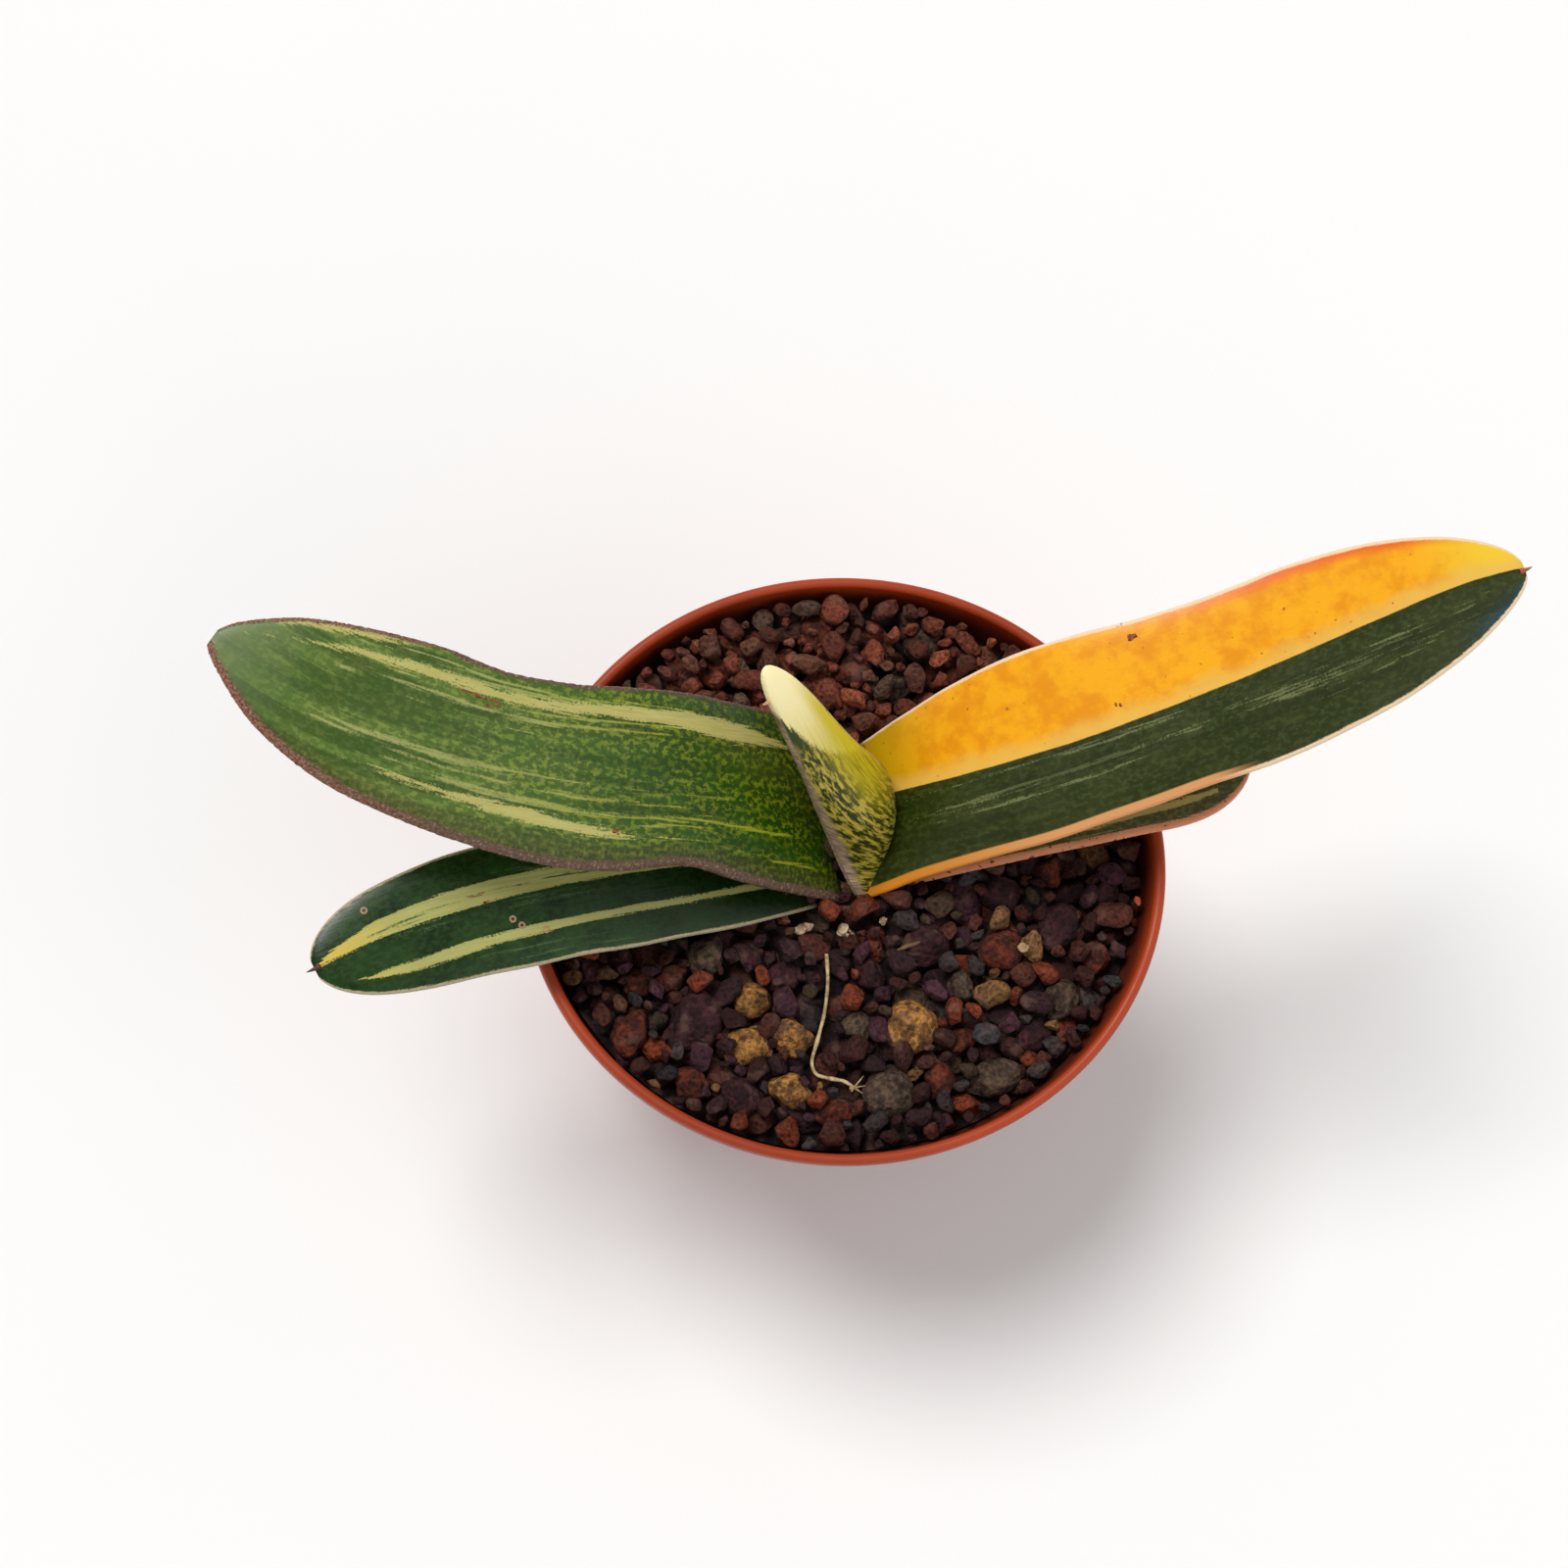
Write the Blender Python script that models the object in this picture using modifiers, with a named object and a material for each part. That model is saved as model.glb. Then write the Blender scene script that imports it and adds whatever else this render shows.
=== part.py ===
"""Variegated gasteria in a round nursery pot, planted in crushed lava.

Frame: origin at the centre of the pot's flat underside, +Z up, +X along the leaf fan.
The plant's leaves grow in two ranks, left (-X) and right (+X) of a short stem.
All lengths are in metres; MM turns millimetres into metres.
"""

import math
import random

import bmesh
import bpy
from mathutils import Matrix, Vector

MM = 0.001
GAP = 0.3 * MM                    # clearance between pieces that rest on or in each other

# --- pot -----------------------------------------------------------------------------------
POT_HEIGHT = 80 * MM
POT_RIM_RADIUS = 50 * MM          # mean outermost reach of the rolled rim
POT_SQUEEZE = 0.04                # the soft pot is this share wider along X and narrower along Y
POT_BASE_RADIUS = 35.5 * MM
POT_WALL = 1.0 * MM
POT_FLOOR = 1.4 * MM
POT_STEPS = 72                    # facets round the pot
RIM_BEAD = 1.8 * MM               # radial width of the rolled rim
RIM_DROP = 3.0 * MM               # height of the rolled rim
FOOT_ROUND = 2.0 * MM             # rounding between wall and underside
DRAIN_HOLES = 8
DRAIN_RADIUS = 2.4 * MM
DRAIN_CIRCLE = 24 * MM            # radius of the circle the drain holes sit on

# --- lava fill -----------------------------------------------------------------------------
FILL_BELOW_RIM = 8.5 * MM

# --- stem and roots ------------------------------------------------------------------------
STEM_CENTRE = Vector((0.5 * MM, 9.5 * MM))
STEM_HALF_THICK = 9 * MM          # along X
STEM_HALF_WIDE = 15.5 * MM        # along Y
STEM_DEPTH = 17 * MM
STEM_SIDES = 24
STEM_FOOT_SHARE = 0.62            # stem width at its foot over its width at the top
ROOT_COUNT = 7
ROOT_RADIUS = 1.7 * MM
ROOT_TIP_SHARE = 0.45             # root radius at its tip over its radius at the stem
ROOT_SPREAD = 14 * MM             # how far a root runs outwards
ROOT_DROP = 36 * MM               # how far a root runs down
ROOT_START = 0.7                  # share of the stem's depth at which the roots leave it
ROOT_PIECES = 5                   # straight pieces along a root

# --- leaves --------------------------------------------------------------------------------
LEAF_RINGS = 20                   # sections along a leaf
LEAF_SIDES = 16                   # points round a section
LEAF_SEAT = 0.9 * MM              # half height of a leaf's slanting cut base over the stem
LEAF_CLASP = 0.55                 # thickness at the clasped base over the greatest thickness
LEAF_SWELL_END = 0.35             # share of the length at which a leaf is thickest
LEAF_TIP_THINNING = 0.45          # share of the thickness lost towards the tip
LEAF_LAST_RING = 0.995            # share of the length at which the tip is closed

# Each leaf is a swept lens section. side is -1 for the left rank and 1 for the right rank.
# rise and yaw (degrees) give the midline's slope and its swing towards +Y at the base, half
# way and the tip. tilt turns the face about the midline, towards the near side. near and far
# are half widths in millimetres at even steps from base to tip, before the tip is rounded,
# and a higher bluntness keeps the width up to a blunter tip.
LEAVES = {
    "left_long_leaf": dict(
        side=-1, foot=(-3.0, 10.8), length=109.6, thick=4.2, cup=0.8, bluntness=6,
        rise=(58, 22, 10), yaw=(-5, 10, 40), tilt=(0, 10, 10),
        near=(16.0, 15.0, 13.6, 11.4, 13.2, 13.8, 13.2, 12.5, 12.0, 10.3, 7.6),
        far=(14.2, 14.8, 15.0, 15.4, 14.9, 13.5, 12.4, 13.4, 13.4, 12.4, 9.6)),
    "left_low_leaf": dict(
        side=-1, foot=(-7.4, 3.4), length=82.2, thick=3.6, cup=0.6, bluntness=8,
        rise=(32, 13, 0), yaw=(-14, -7, -22), tilt=(0, 6, 6),
        near=(9.2, 9.4, 9.7, 9.8, 10.0, 10.0, 10.2, 10.2, 10.4, 10.3, 10.0),
        far=(9.0, 9.4, 9.7, 9.8, 10.0, 10.0, 10.0, 9.9, 9.6, 9.5, 9.2)),
    "right_long_leaf": dict(
        side=1, foot=(4.7, 10.3), length=114.6, thick=4.2, cup=0.8, bluntness=8,
        rise=(54, 19, 8), yaw=(-5, 12, 14), tilt=(0, 10, 10),
        near=(15.4, 13.8, 13.4, 13.4, 13.2, 13.2, 13.7, 13.3, 12.6, 11.0, 8.8),
        far=(10.4, 12.8, 15.0, 16.3, 16.0, 14.8, 14.4, 14.6, 14.2, 13.0, 11.2)),
    "right_short_leaf": dict(
        side=1, foot=(9.0, 6.0), length=60.1, thick=3.6, cup=0.6, bluntness=6,
        rise=(40, 17, 4), yaw=(4, 4, -3), tilt=(0, 6, 6),
        near=(9.5, 9.8, 10.0, 10.3, 10.5, 10.6, 10.8, 11.1, 11.6, 12.1, 12.2),
        far=(9.5, 9.8, 10.0, 10.2, 10.4, 10.5, 10.5, 10.5, 10.3, 10.0, 9.5)),
    "centre_leaf": dict(
        side=-1, foot=(1.3, 6.5), length=45.5, thick=5.0, cup=0.3, bluntness=6,
        rise=(84, 58, 46), yaw=(0, 55, 42), tilt=(0, 0, 0),
        near=(12.0, 8.5, 6.2, 5.2, 5.0, 5.0, 5.2, 5.4, 5.4, 5.2, 4.9),
        far=(9.0, 8.8, 8.6, 8.3, 7.9, 7.2, 6.6, 6.0, 5.4, 4.9, 4.4)),
}

LEAF_COLOURS = {
    "left_long_leaf": (0.10, 0.22, 0.03),
    "left_low_leaf": (0.03, 0.12, 0.02),
    "right_long_leaf": (0.55, 0.30, 0.02),
    "right_short_leaf": (0.20, 0.22, 0.05),
    "centre_leaf": (0.65, 0.62, 0.25),
}

# --- loose pieces on the fill --------------------------------------------------------------
STRAND_RADIUS = 0.4 * MM
STRAND_LIFT = 2.6 * MM            # it lies over the uneven grit, this far above the fill
STRAND_ROUTE = ((-4.4, -13.4), (-4.8, -18.2), (-5.9, -22.9), (-7.6, -27.3), (-8.8, -30.4),
                (-8.4, -32.4), (-6.6, -33.2), (-4.2, -34.0), (-2.6, -35.2))
STRAND_STEPS = 3                  # straight pieces between two points of the route

SCRAP_LIFT = 1.6 * MM             # the scraps lie on the uneven grit, this far above the fill
# name: (x, y, half length, half width, half height, turn), millimetres and degrees
SCRAPS = {
    "dry_scrap_left": (-7.7, -8.6, 2.0, 1.2, 0.9, 20),
    "dry_scrap_middle": (-0.9, -10.4, 2.2, 1.5, 1.2, 35),
    "dry_scrap_right": (5.2, -8.8, 1.6, 0.8, 0.6, -20),
}
STONE_TINTS = {
    "pumice": (0.42, 0.25, 0.11),
    "red": (0.16, 0.045, 0.03),
    "purple": (0.075, 0.035, 0.045),
    "grey": (0.11, 0.09, 0.085),
}
# kind, x, y, half length, half width, half height, turn: millimetres and degrees
STONES = (
    ("pumice", -15.6, -21.6, 2.8, 2.5, 2.4, 70),
    ("pumice", -20.4, -26.3, 4.0, 2.6, 2.4, 15),
    ("pumice", -12.3, -28.0, 2.9, 2.8, 2.7, 0),
    ("pumice", -13.2, -34.6, 3.3, 2.4, 2.1, -20),
    ("pumice", 7.2, -26.6, 4.2, 3.5, 3.1, 30),
    ("grey", -22.8, -13.0, 3.6, 3.1, 2.7, 60),
    ("purple", -29.2, -22.0, 5.2, 4.1, 2.8, 35),
    ("red", -37.4, -22.4, 4.4, 3.2, 2.5, 60),
    ("red", -34.9, -15.6, 2.8, 2.2, 2.0, 0),
    ("grey", 2.3, -36.4, 4.6, 4.0, 2.9, 80),
    ("grey", 20.1, -36.6, 4.8, 3.0, 2.3, 10),
    ("red", 10.2, -35.6, 3.2, 2.7, 2.5, 80),
    ("red", -6.2, -38.8, 3.4, 2.1, 2.0, 0),
    ("purple", 11.3, -13.6, 4.0, 3.4, 2.8, 0),
    ("purple", 25.0, -6.4, 3.1, 3.0, 2.6, 0),
    ("red", 24.2, -15.8, 4.2, 3.6, 2.9, 25),
    ("purple", 33.6, -12.8, 3.9, 3.2, 2.6, 50),
    ("red", 15.8, -30.0, 2.6, 2.1, 2.0, 15),
    ("grey", 32.6, -24.6, 3.6, 2.9, 2.4, 40),
    ("purple", 27.0, -30.0, 3.0, 2.5, 2.2, 0),
    ("red", 39.4, -18.4, 2.8, 2.3, 2.0, 80),
    ("grey", 16.6, -20.6, 2.9, 2.4, 2.1, 60),
    ("purple", -20.6, -34.6, 3.8, 3.0, 2.4, -30),
    ("red", -28.6, -31.6, 3.1, 2.6, 2.2, -40),
    ("purple", -12.0, -16.6, 3.1, 2.7, 2.2, 10),
    ("purple", -17.4, -13.4, 3.0, 2.4, 2.2, -20),
    ("grey", -1.0, -25.6, 2.9, 2.5, 2.1, 0),
    ("red", -29.6, -14.6, 2.7, 2.2, 1.9, 30),
    ("purple", -42.6, -12.6, 2.5, 2.0, 1.9, 80),
    ("purple", 2.2, -17.4, 2.8, 2.3, 2.0, -30),
    ("red", 33.6, -3.4, 3.0, 2.6, 2.2, 20),
    ("purple", 42.2, -8.0, 2.6, 2.2, 2.0, 70),
    ("red", 0.6, 39.6, 3.8, 3.1, 2.6, 20),
    ("red", 9.4, 38.0, 3.6, 2.8, 2.4, -30),
    ("red", -9.4, 38.6, 3.3, 2.9, 2.4, 50),
    ("grey", 17.6, 36.6, 3.4, 2.7, 2.3, 30),
    ("red", -17.6, 35.0, 3.2, 2.6, 2.2, -20),
    ("red", 4.4, 30.6, 3.2, 3.0, 2.8, 0),
    ("grey", 12.6, 29.6, 3.0, 2.6, 2.2, 45),
    ("red", 21.6, 29.0, 3.4, 2.7, 2.4, -45),
    ("red", -6.0, 30.6, 2.8, 2.4, 2.1, 15),
    ("purple", -27.4, 30.0, 3.2, 2.5, 2.2, 40),
    ("red", 29.6, 28.6, 3.0, 2.6, 2.2, -30),
    ("red", -15.6, 27.6, 2.8, 2.4, 2.0, 60),
    ("purple", 36.6, 20.6, 3.1, 2.5, 2.2, 0),
    ("red", -36.6, 20.6, 3.0, 2.5, 2.1, 70),
)
STONE_ROUGHNESS = 0.16            # how far a stone's surface strays from its smooth form
STONE_FACETS = 7                  # flats knocked on a stone
STONE_FACET_REACH = (0.62, 0.85)  # nearest and farthest flat, over the stone's radius
STONE_FACET_FLATNESS = 0.85       # 1 cuts a flat quite flat, 0 not at all
STONE_SEED = 7
SETTLE_ROUNDS = 60                # passes that push crowded stones apart

SHARP_EDGE = 40                   # degrees; edges sharper than this stay crisp when shaded

# --- sizes that follow from the ones above ---------------------------------------------------
FILL_TOP = POT_HEIGHT - FILL_BELOW_RIM
BODY_TOP_RADIUS = POT_RIM_RADIUS - RIM_BEAD + POT_WALL


def wall_radius(z):
    """Outer radius of the pot's tapered wall at height z."""
    share = z / (POT_HEIGHT - RIM_DROP)
    return POT_BASE_RADIUS + (BODY_TOP_RADIUS - POT_BASE_RADIUS) * share


FILL_RADIUS = wall_radius(FILL_TOP) - POT_WALL - GAP


def squeezed(part):
    """Give a turned part the slight oval of the soft pot."""
    part.scale = (1 + POT_SQUEEZE, 1 - POT_SQUEEZE, 1.0)


def clear_scene():
    for scene_object in list(bpy.data.objects):
        bpy.data.objects.remove(scene_object, do_unlink=True)


def new_collection(name):
    collection = bpy.data.collections.new(name)
    bpy.context.scene.collection.children.link(collection)
    return collection


def material(name, colour, roughness):
    made = bpy.data.materials.new(name)
    made.use_nodes = True
    shader = made.node_tree.nodes["Principled BSDF"]
    shader.inputs["Base Color"].default_value = (*colour, 1.0)
    shader.inputs["Roughness"].default_value = roughness
    shader.inputs["Metallic"].default_value = 0.0
    made.diffuse_color = (*colour, 1.0)
    return made


def add_part(name, mesh, finish, collection):
    """Put a mesh in the scene as the named part, shaded smooth over its gentle edges."""
    part = bpy.data.objects.new(name, mesh)
    collection.objects.link(part)
    mesh.materials.clear()
    mesh.materials.append(finish)
    mesh.shade_smooth()
    mesh.set_sharp_from_angle(angle=math.radians(SHARP_EDGE))
    return part


def add_cutter(name, mesh, collection):
    cutter = bpy.data.objects.new(name, mesh)
    collection.objects.link(cutter)
    cutter.hide_render = True
    cutter.display_type = "WIRE"
    return cutter


def cut(part, cutter):
    boolean = part.modifiers.new("cut_" + cutter.name, "BOOLEAN")
    boolean.operation = "DIFFERENCE"
    boolean.solver = "EXACT"
    boolean.object = cutter


def mesh_from_bmesh(name, shape):
    mesh = bpy.data.meshes.new(name)
    shape.to_mesh(mesh)
    shape.free()
    return mesh


def turned_mesh(name, profile):
    """Open profile of (radius, height) points, from the axis round to the axis, as a mesh."""
    mesh = bpy.data.meshes.new(name)
    points = [(radius, 0.0, height) for radius, height in profile]
    mesh.from_pydata(points, [(i, i + 1) for i in range(len(points) - 1)], [])
    return mesh


def add_screw(part, steps):
    screw = part.modifiers.new("turn", "SCREW")
    screw.axis = "Z"
    screw.steps = steps
    screw.render_steps = steps
    screw.use_merge_vertices = True
    screw.merge_threshold = 0.00001
    screw.use_smooth_shade = True


def arc(centre, radius, start, end, pieces):
    """Points on an arc in the (radius, height) plane; the angles are in degrees."""
    points = []
    for i in range(pieces + 1):
        angle = math.radians(start + (end - start) * i / pieces)
        points.append((centre[0] + radius * math.cos(angle), centre[1] + radius * math.sin(angle)))
    return points


# --- pot and fill ----------------------------------------------------------------------------

def make_pot(parts, cutters):
    bead = RIM_BEAD / 2
    inner_top = POT_RIM_RADIUS - RIM_BEAD
    profile = [(0.0, POT_FLOOR), (wall_radius(POT_FLOOR) - POT_WALL, POT_FLOOR)]
    profile.append((wall_radius(POT_HEIGHT - RIM_DROP) - POT_WALL, POT_HEIGHT - RIM_DROP))
    profile += arc((inner_top + bead, POT_HEIGHT - bead), bead, 180, 0, 6)
    profile += arc((POT_RIM_RADIUS - bead / 2, POT_HEIGHT - RIM_DROP + bead / 2), bead / 2, 0, -90, 2)
    profile.append((wall_radius(POT_HEIGHT - RIM_DROP), POT_HEIGHT - RIM_DROP))
    foot = wall_radius(FOOT_ROUND) - FOOT_ROUND
    profile += arc((foot, FOOT_ROUND), FOOT_ROUND, 0, -90, 4)
    profile.append((0.0, 0.0))
    finish = material("terracotta_plastic", (0.42, 0.10, 0.03), 0.5)
    pot = add_part("nursery_pot", turned_mesh("nursery_pot", profile), finish, parts)
    add_screw(pot, POT_STEPS)
    squeezed(pot)

    holes = bmesh.new()
    for i in range(DRAIN_HOLES):
        angle = 2 * math.pi * i / DRAIN_HOLES
        place = (DRAIN_CIRCLE * math.cos(angle), DRAIN_CIRCLE * math.sin(angle), 0.0)
        bmesh.ops.create_cone(holes, cap_ends=True, segments=16, radius1=DRAIN_RADIUS,
                              radius2=DRAIN_RADIUS, depth=4 * POT_FLOOR,
                              matrix=Matrix.Translation(place))
    cut(pot, add_cutter("drain_holes", mesh_from_bmesh("drain_holes", holes), cutters))


def make_fill(parts, cutters):
    bottom = POT_FLOOR + GAP
    bottom_radius = wall_radius(bottom) - POT_WALL - GAP
    profile = [(0.0, FILL_TOP), (FILL_RADIUS, FILL_TOP), (bottom_radius, bottom), (0.0, bottom)]
    finish = material("lava_grit", (0.07, 0.035, 0.03), 0.9)
    fill = add_part("lava_fill", turned_mesh("lava_fill", profile), finish, parts)
    add_screw(fill, POT_STEPS)
    squeezed(fill)
    hollow = root_system("root_hollow", GAP, STEM_DEPTH + GAP)
    cut(fill, add_cutter("root_hollow", hollow, cutters))


# --- stem and roots --------------------------------------------------------------------------

def stem_mesh(growth, height):
    """Oval stem, narrowing downwards, with its top at FILL_TOP - STEM_DEPTH + height."""
    stem = bmesh.new()
    bmesh.ops.create_cone(stem, cap_ends=True, segments=STEM_SIDES, radius1=STEM_FOOT_SHARE,
                          radius2=1.0, depth=1.0)
    size = (STEM_HALF_THICK + growth, STEM_HALF_WIDE + growth, height + growth)
    bmesh.ops.scale(stem, vec=size, verts=stem.verts)
    middle = FILL_TOP - STEM_DEPTH - growth + size[2] / 2
    bmesh.ops.translate(stem, vec=(*STEM_CENTRE, middle), verts=stem.verts)
    return mesh_from_bmesh("stem", stem)


def root_mesh(index, growth):
    """One fleshy root: a curve that leaves the stem sideways and turns down, as a mesh."""
    angle = 2 * math.pi * (index + 0.5) / ROOT_COUNT
    outward = Vector((math.cos(angle), math.sin(angle), 0.0))
    start = Vector((*STEM_CENTRE, FILL_TOP - ROOT_START * STEM_DEPTH))
    route = []
    for step in range(ROOT_PIECES + 1):
        share = step / ROOT_PIECES
        reach = ROOT_SPREAD * math.sin(share * math.pi / 2)
        fall = ROOT_DROP * share ** 1.5
        route.append(start + outward * reach - Vector((0.0, 0.0, fall)))
    ending = (route[-1] - route[-2]).normalized()
    route[-1] += ending * growth

    curve = bpy.data.curves.new("root_route", "CURVE")
    curve.dimensions = "3D"
    curve.bevel_depth = 1.0
    curve.bevel_resolution = 2
    curve.use_fill_caps = True
    spline = curve.splines.new("POLY")
    spline.points.add(ROOT_PIECES)
    for step, point in enumerate(route):
        share = step / ROOT_PIECES
        spline.points[step].co = (*point, 1.0)
        spline.points[step].radius = ROOT_RADIUS * (1 - (1 - ROOT_TIP_SHARE) * share) + growth
    return solid_from_curve(curve)


def solid_from_curve(curve):
    """Closed mesh of a bevelled curve, with its caps welded to its sides."""
    holder = bpy.data.objects.new("curve_holder", curve)
    bpy.context.scene.collection.objects.link(holder)
    bpy.context.view_layer.update()
    evaluated = holder.evaluated_get(bpy.context.evaluated_depsgraph_get())
    mesh = bpy.data.meshes.new_from_object(evaluated)
    bpy.data.objects.remove(holder, do_unlink=True)
    solid = bmesh.new()
    solid.from_mesh(mesh)
    bmesh.ops.remove_doubles(solid, verts=solid.verts, dist=0.001 * MM)
    bmesh.ops.recalc_face_normals(solid, faces=solid.faces)
    solid.to_mesh(mesh)
    solid.free()
    return mesh


def root_system(name, growth, stem_height):
    """Stem and roots joined into one mesh, every surface moved outwards by growth."""
    whole = bpy.data.objects.new(name + "_build", stem_mesh(growth, stem_height))
    bpy.context.scene.collection.objects.link(whole)
    helpers = []
    for index in range(ROOT_COUNT):
        helper = bpy.data.objects.new("root_helper", root_mesh(index, growth))
        bpy.context.scene.collection.objects.link(helper)
        helpers.append(helper)
        union = whole.modifiers.new("join_root", "BOOLEAN")
        union.operation = "UNION"
        union.solver = "EXACT"
        union.object = helper
    bpy.context.view_layer.update()
    evaluated = whole.evaluated_get(bpy.context.evaluated_depsgraph_get())
    mesh = bpy.data.meshes.new_from_object(evaluated)
    for helper in helpers + [whole]:
        bpy.data.objects.remove(helper, do_unlink=True)
    mesh.name = name
    return mesh


def make_stem_and_roots(parts):
    finish = material("root_tissue", (0.35, 0.26, 0.15), 0.8)
    add_part("stem_and_roots", root_system("stem_and_roots", 0.0, STEM_DEPTH), finish, parts)


# --- leaves ----------------------------------------------------------------------------------

def blend_three(values, share):
    """Smooth value that is values[0] at 0, values[1] half way and values[2] at 1."""
    first, middle, last = values
    return (first * (1 - share) * (1 - 2 * share) + 4 * middle * share * (1 - share)
            + last * share * (2 * share - 1))


def along_table(values, share):
    """Catmull-Rom curve through values spaced evenly from 0 to 1."""
    place = min(share, 0.99999) * (len(values) - 1)
    index = int(place)
    t = place - index
    p0, p1 = values[max(index - 1, 0)], values[index]
    p2, p3 = values[index + 1], values[min(index + 2, len(values) - 1)]
    return 0.5 * (2 * p1 + (p2 - p0) * t + (2 * p0 - 5 * p1 + 4 * p2 - p3) * t ** 2
                  + (3 * p1 - p0 - 3 * p2 + p3) * t ** 3)


def leaf_axes(leaf, share):
    """Unit vectors at a share of the midline: along it, across to the far side, and face up."""
    rise = math.radians(blend_three(leaf["rise"], share))
    yaw = math.radians(blend_three(leaf["yaw"], share))
    tilt = math.radians(blend_three(leaf["tilt"], share))
    side = leaf["side"]
    along = Vector((side * math.cos(yaw) * math.cos(rise), math.sin(yaw) * math.cos(rise),
                    math.sin(rise)))
    level = Vector((-side * math.sin(yaw), math.cos(yaw), 0.0))
    upward = along.cross(level) * side
    across = level * math.cos(tilt) + upward * math.sin(tilt)
    return along, across, along.cross(across) * side


def leaf_thickness(leaf, share):
    """Thin where it is clasped at the base, thickest a third of the way out, thin at the tip."""
    swelling = math.sin(min(share / LEAF_SWELL_END, 1.0) * math.pi / 2)
    thick = leaf["thick"] * MM * (LEAF_CLASP + (1 - LEAF_CLASP) * swelling)
    return thick * (1 - LEAF_TIP_THINNING * share ** 2)


def leaf_section(leaf, share, centre, axes):
    """Points round one lens section of a leaf, starting at its far margin."""
    _, across, face_up = axes
    tip_round = math.sqrt(1 - share ** leaf["bluntness"])
    far = along_table(leaf["far"], share) * MM * tip_round
    near = along_table(leaf["near"], share) * MM * tip_round
    half_thick = leaf_thickness(leaf, share) / 2 * min(1.0, 2.5 * tip_round)
    cup = leaf["cup"] * MM * (1 - share)
    points = []
    for k in range(LEAF_SIDES):
        angle = 2 * math.pi * k / LEAF_SIDES
        reach = math.cos(angle)
        width = far if reach > 0 else near
        lift = half_thick * math.sin(angle) + cup * reach ** 2
        points.append(centre + across * width * reach + face_up * lift)
    return points


def leaf_mesh(name, leaf):
    """Loft of lens sections along the leaf's curved midline, closed at the base and tip."""
    shape = bmesh.new()
    fine_steps = 10
    position = Vector((leaf["foot"][0] * MM, leaf["foot"][1] * MM, FILL_TOP + GAP + LEAF_SEAT))
    rings = []
    passed = 0.0
    for ring in range(LEAF_RINGS):
        share = LEAF_LAST_RING * math.sin(math.pi / 2 * ring / (LEAF_RINGS - 1))
        for step in range(fine_steps):
            middle = passed + (share - passed) * (step + 0.5) / fine_steps
            length = leaf["length"] * MM * (share - passed) / fine_steps
            position = position + leaf_axes(leaf, middle)[0] * length
        passed = share
        points = leaf_section(leaf, share, position, leaf_axes(leaf, share))
        rings.append([shape.verts.new(point) for point in points])
    for before, after in zip(rings, rings[1:]):
        for k in range(LEAF_SIDES):
            following = (k + 1) % LEAF_SIDES
            shape.faces.new((before[k], before[following], after[following], after[k]))
    shape.faces.new(rings[0])
    shape.faces.new(rings[-1])
    bmesh.ops.recalc_face_normals(shape, faces=shape.faces)
    return mesh_from_bmesh(name, shape)


def make_leaves(parts):
    for name, leaf in LEAVES.items():
        finish = material(name + "_skin", LEAF_COLOURS[name], 0.4)
        add_part(name, leaf_mesh(name, leaf), finish, parts)


# --- loose pieces ------------------------------------------------------------------------------

def make_strand(parts):
    """Dry root strand that lies on the fill in front of the plant."""
    curve = bpy.data.curves.new("strand_route", "CURVE")
    curve.dimensions = "3D"
    curve.bevel_depth = STRAND_RADIUS
    curve.bevel_resolution = 2
    curve.use_fill_caps = True
    spline = curve.splines.new("POLY")
    pieces = STRAND_STEPS * (len(STRAND_ROUTE) - 1)
    spline.points.add(pieces)
    for step in range(pieces + 1):
        x, y = (along_table([point[axis] for point in STRAND_ROUTE], step / pieces) for axis in (0, 1))
        spline.points[step].co = (x * MM, y * MM, FILL_TOP + STRAND_LIFT, 1.0)
    finish = material("dry_fibre", (0.55, 0.45, 0.28), 0.8)
    add_part("dry_root_strand", solid_from_curve(curve), finish, parts)


def rough_pebble(name, half_sizes, seed):
    """Angular pebble: a ball cut by soft facets and roughened, inside its half sizes."""
    source = random.Random(seed)
    shape = bmesh.new()
    bmesh.ops.create_icosphere(shape, subdivisions=2, radius=1.0)
    facets = []
    for _ in range(STONE_FACETS):
        facet = Vector((source.uniform(-1, 1), source.uniform(-1, 1), source.uniform(-1, 1)))
        facets.append((facet.normalized(), source.uniform(*STONE_FACET_REACH)))
    for vert in shape.verts:
        for facet, reach in facets:
            over = vert.co.dot(facet) - reach
            if over > 0:
                vert.co -= facet * over * STONE_FACET_FLATNESS
        vert.co *= 1 + STONE_ROUGHNESS * source.uniform(-0.5, 0.5)
    widest = max(vert.co.xy.length for vert in shape.verts)
    tallest = max(abs(vert.co.z) for vert in shape.verts)
    size = (half_sizes[0] / widest, half_sizes[1] / widest, half_sizes[2] / tallest)
    bmesh.ops.scale(shape, vec=size, verts=shape.verts)
    lowest = min(vert.co.z for vert in shape.verts)
    bmesh.ops.translate(shape, vec=(0.0, 0.0, -lowest), verts=shape.verts)
    return mesh_from_bmesh(name, shape)


def push_out(place, radius, obstacle, obstacle_radius):
    """Move a disc straight away from another until the gap between them is GAP."""
    offset = place - obstacle
    short = radius + obstacle_radius + GAP - offset.length
    if short > 0:
        place = place + offset.normalized() * short
    return place


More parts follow.
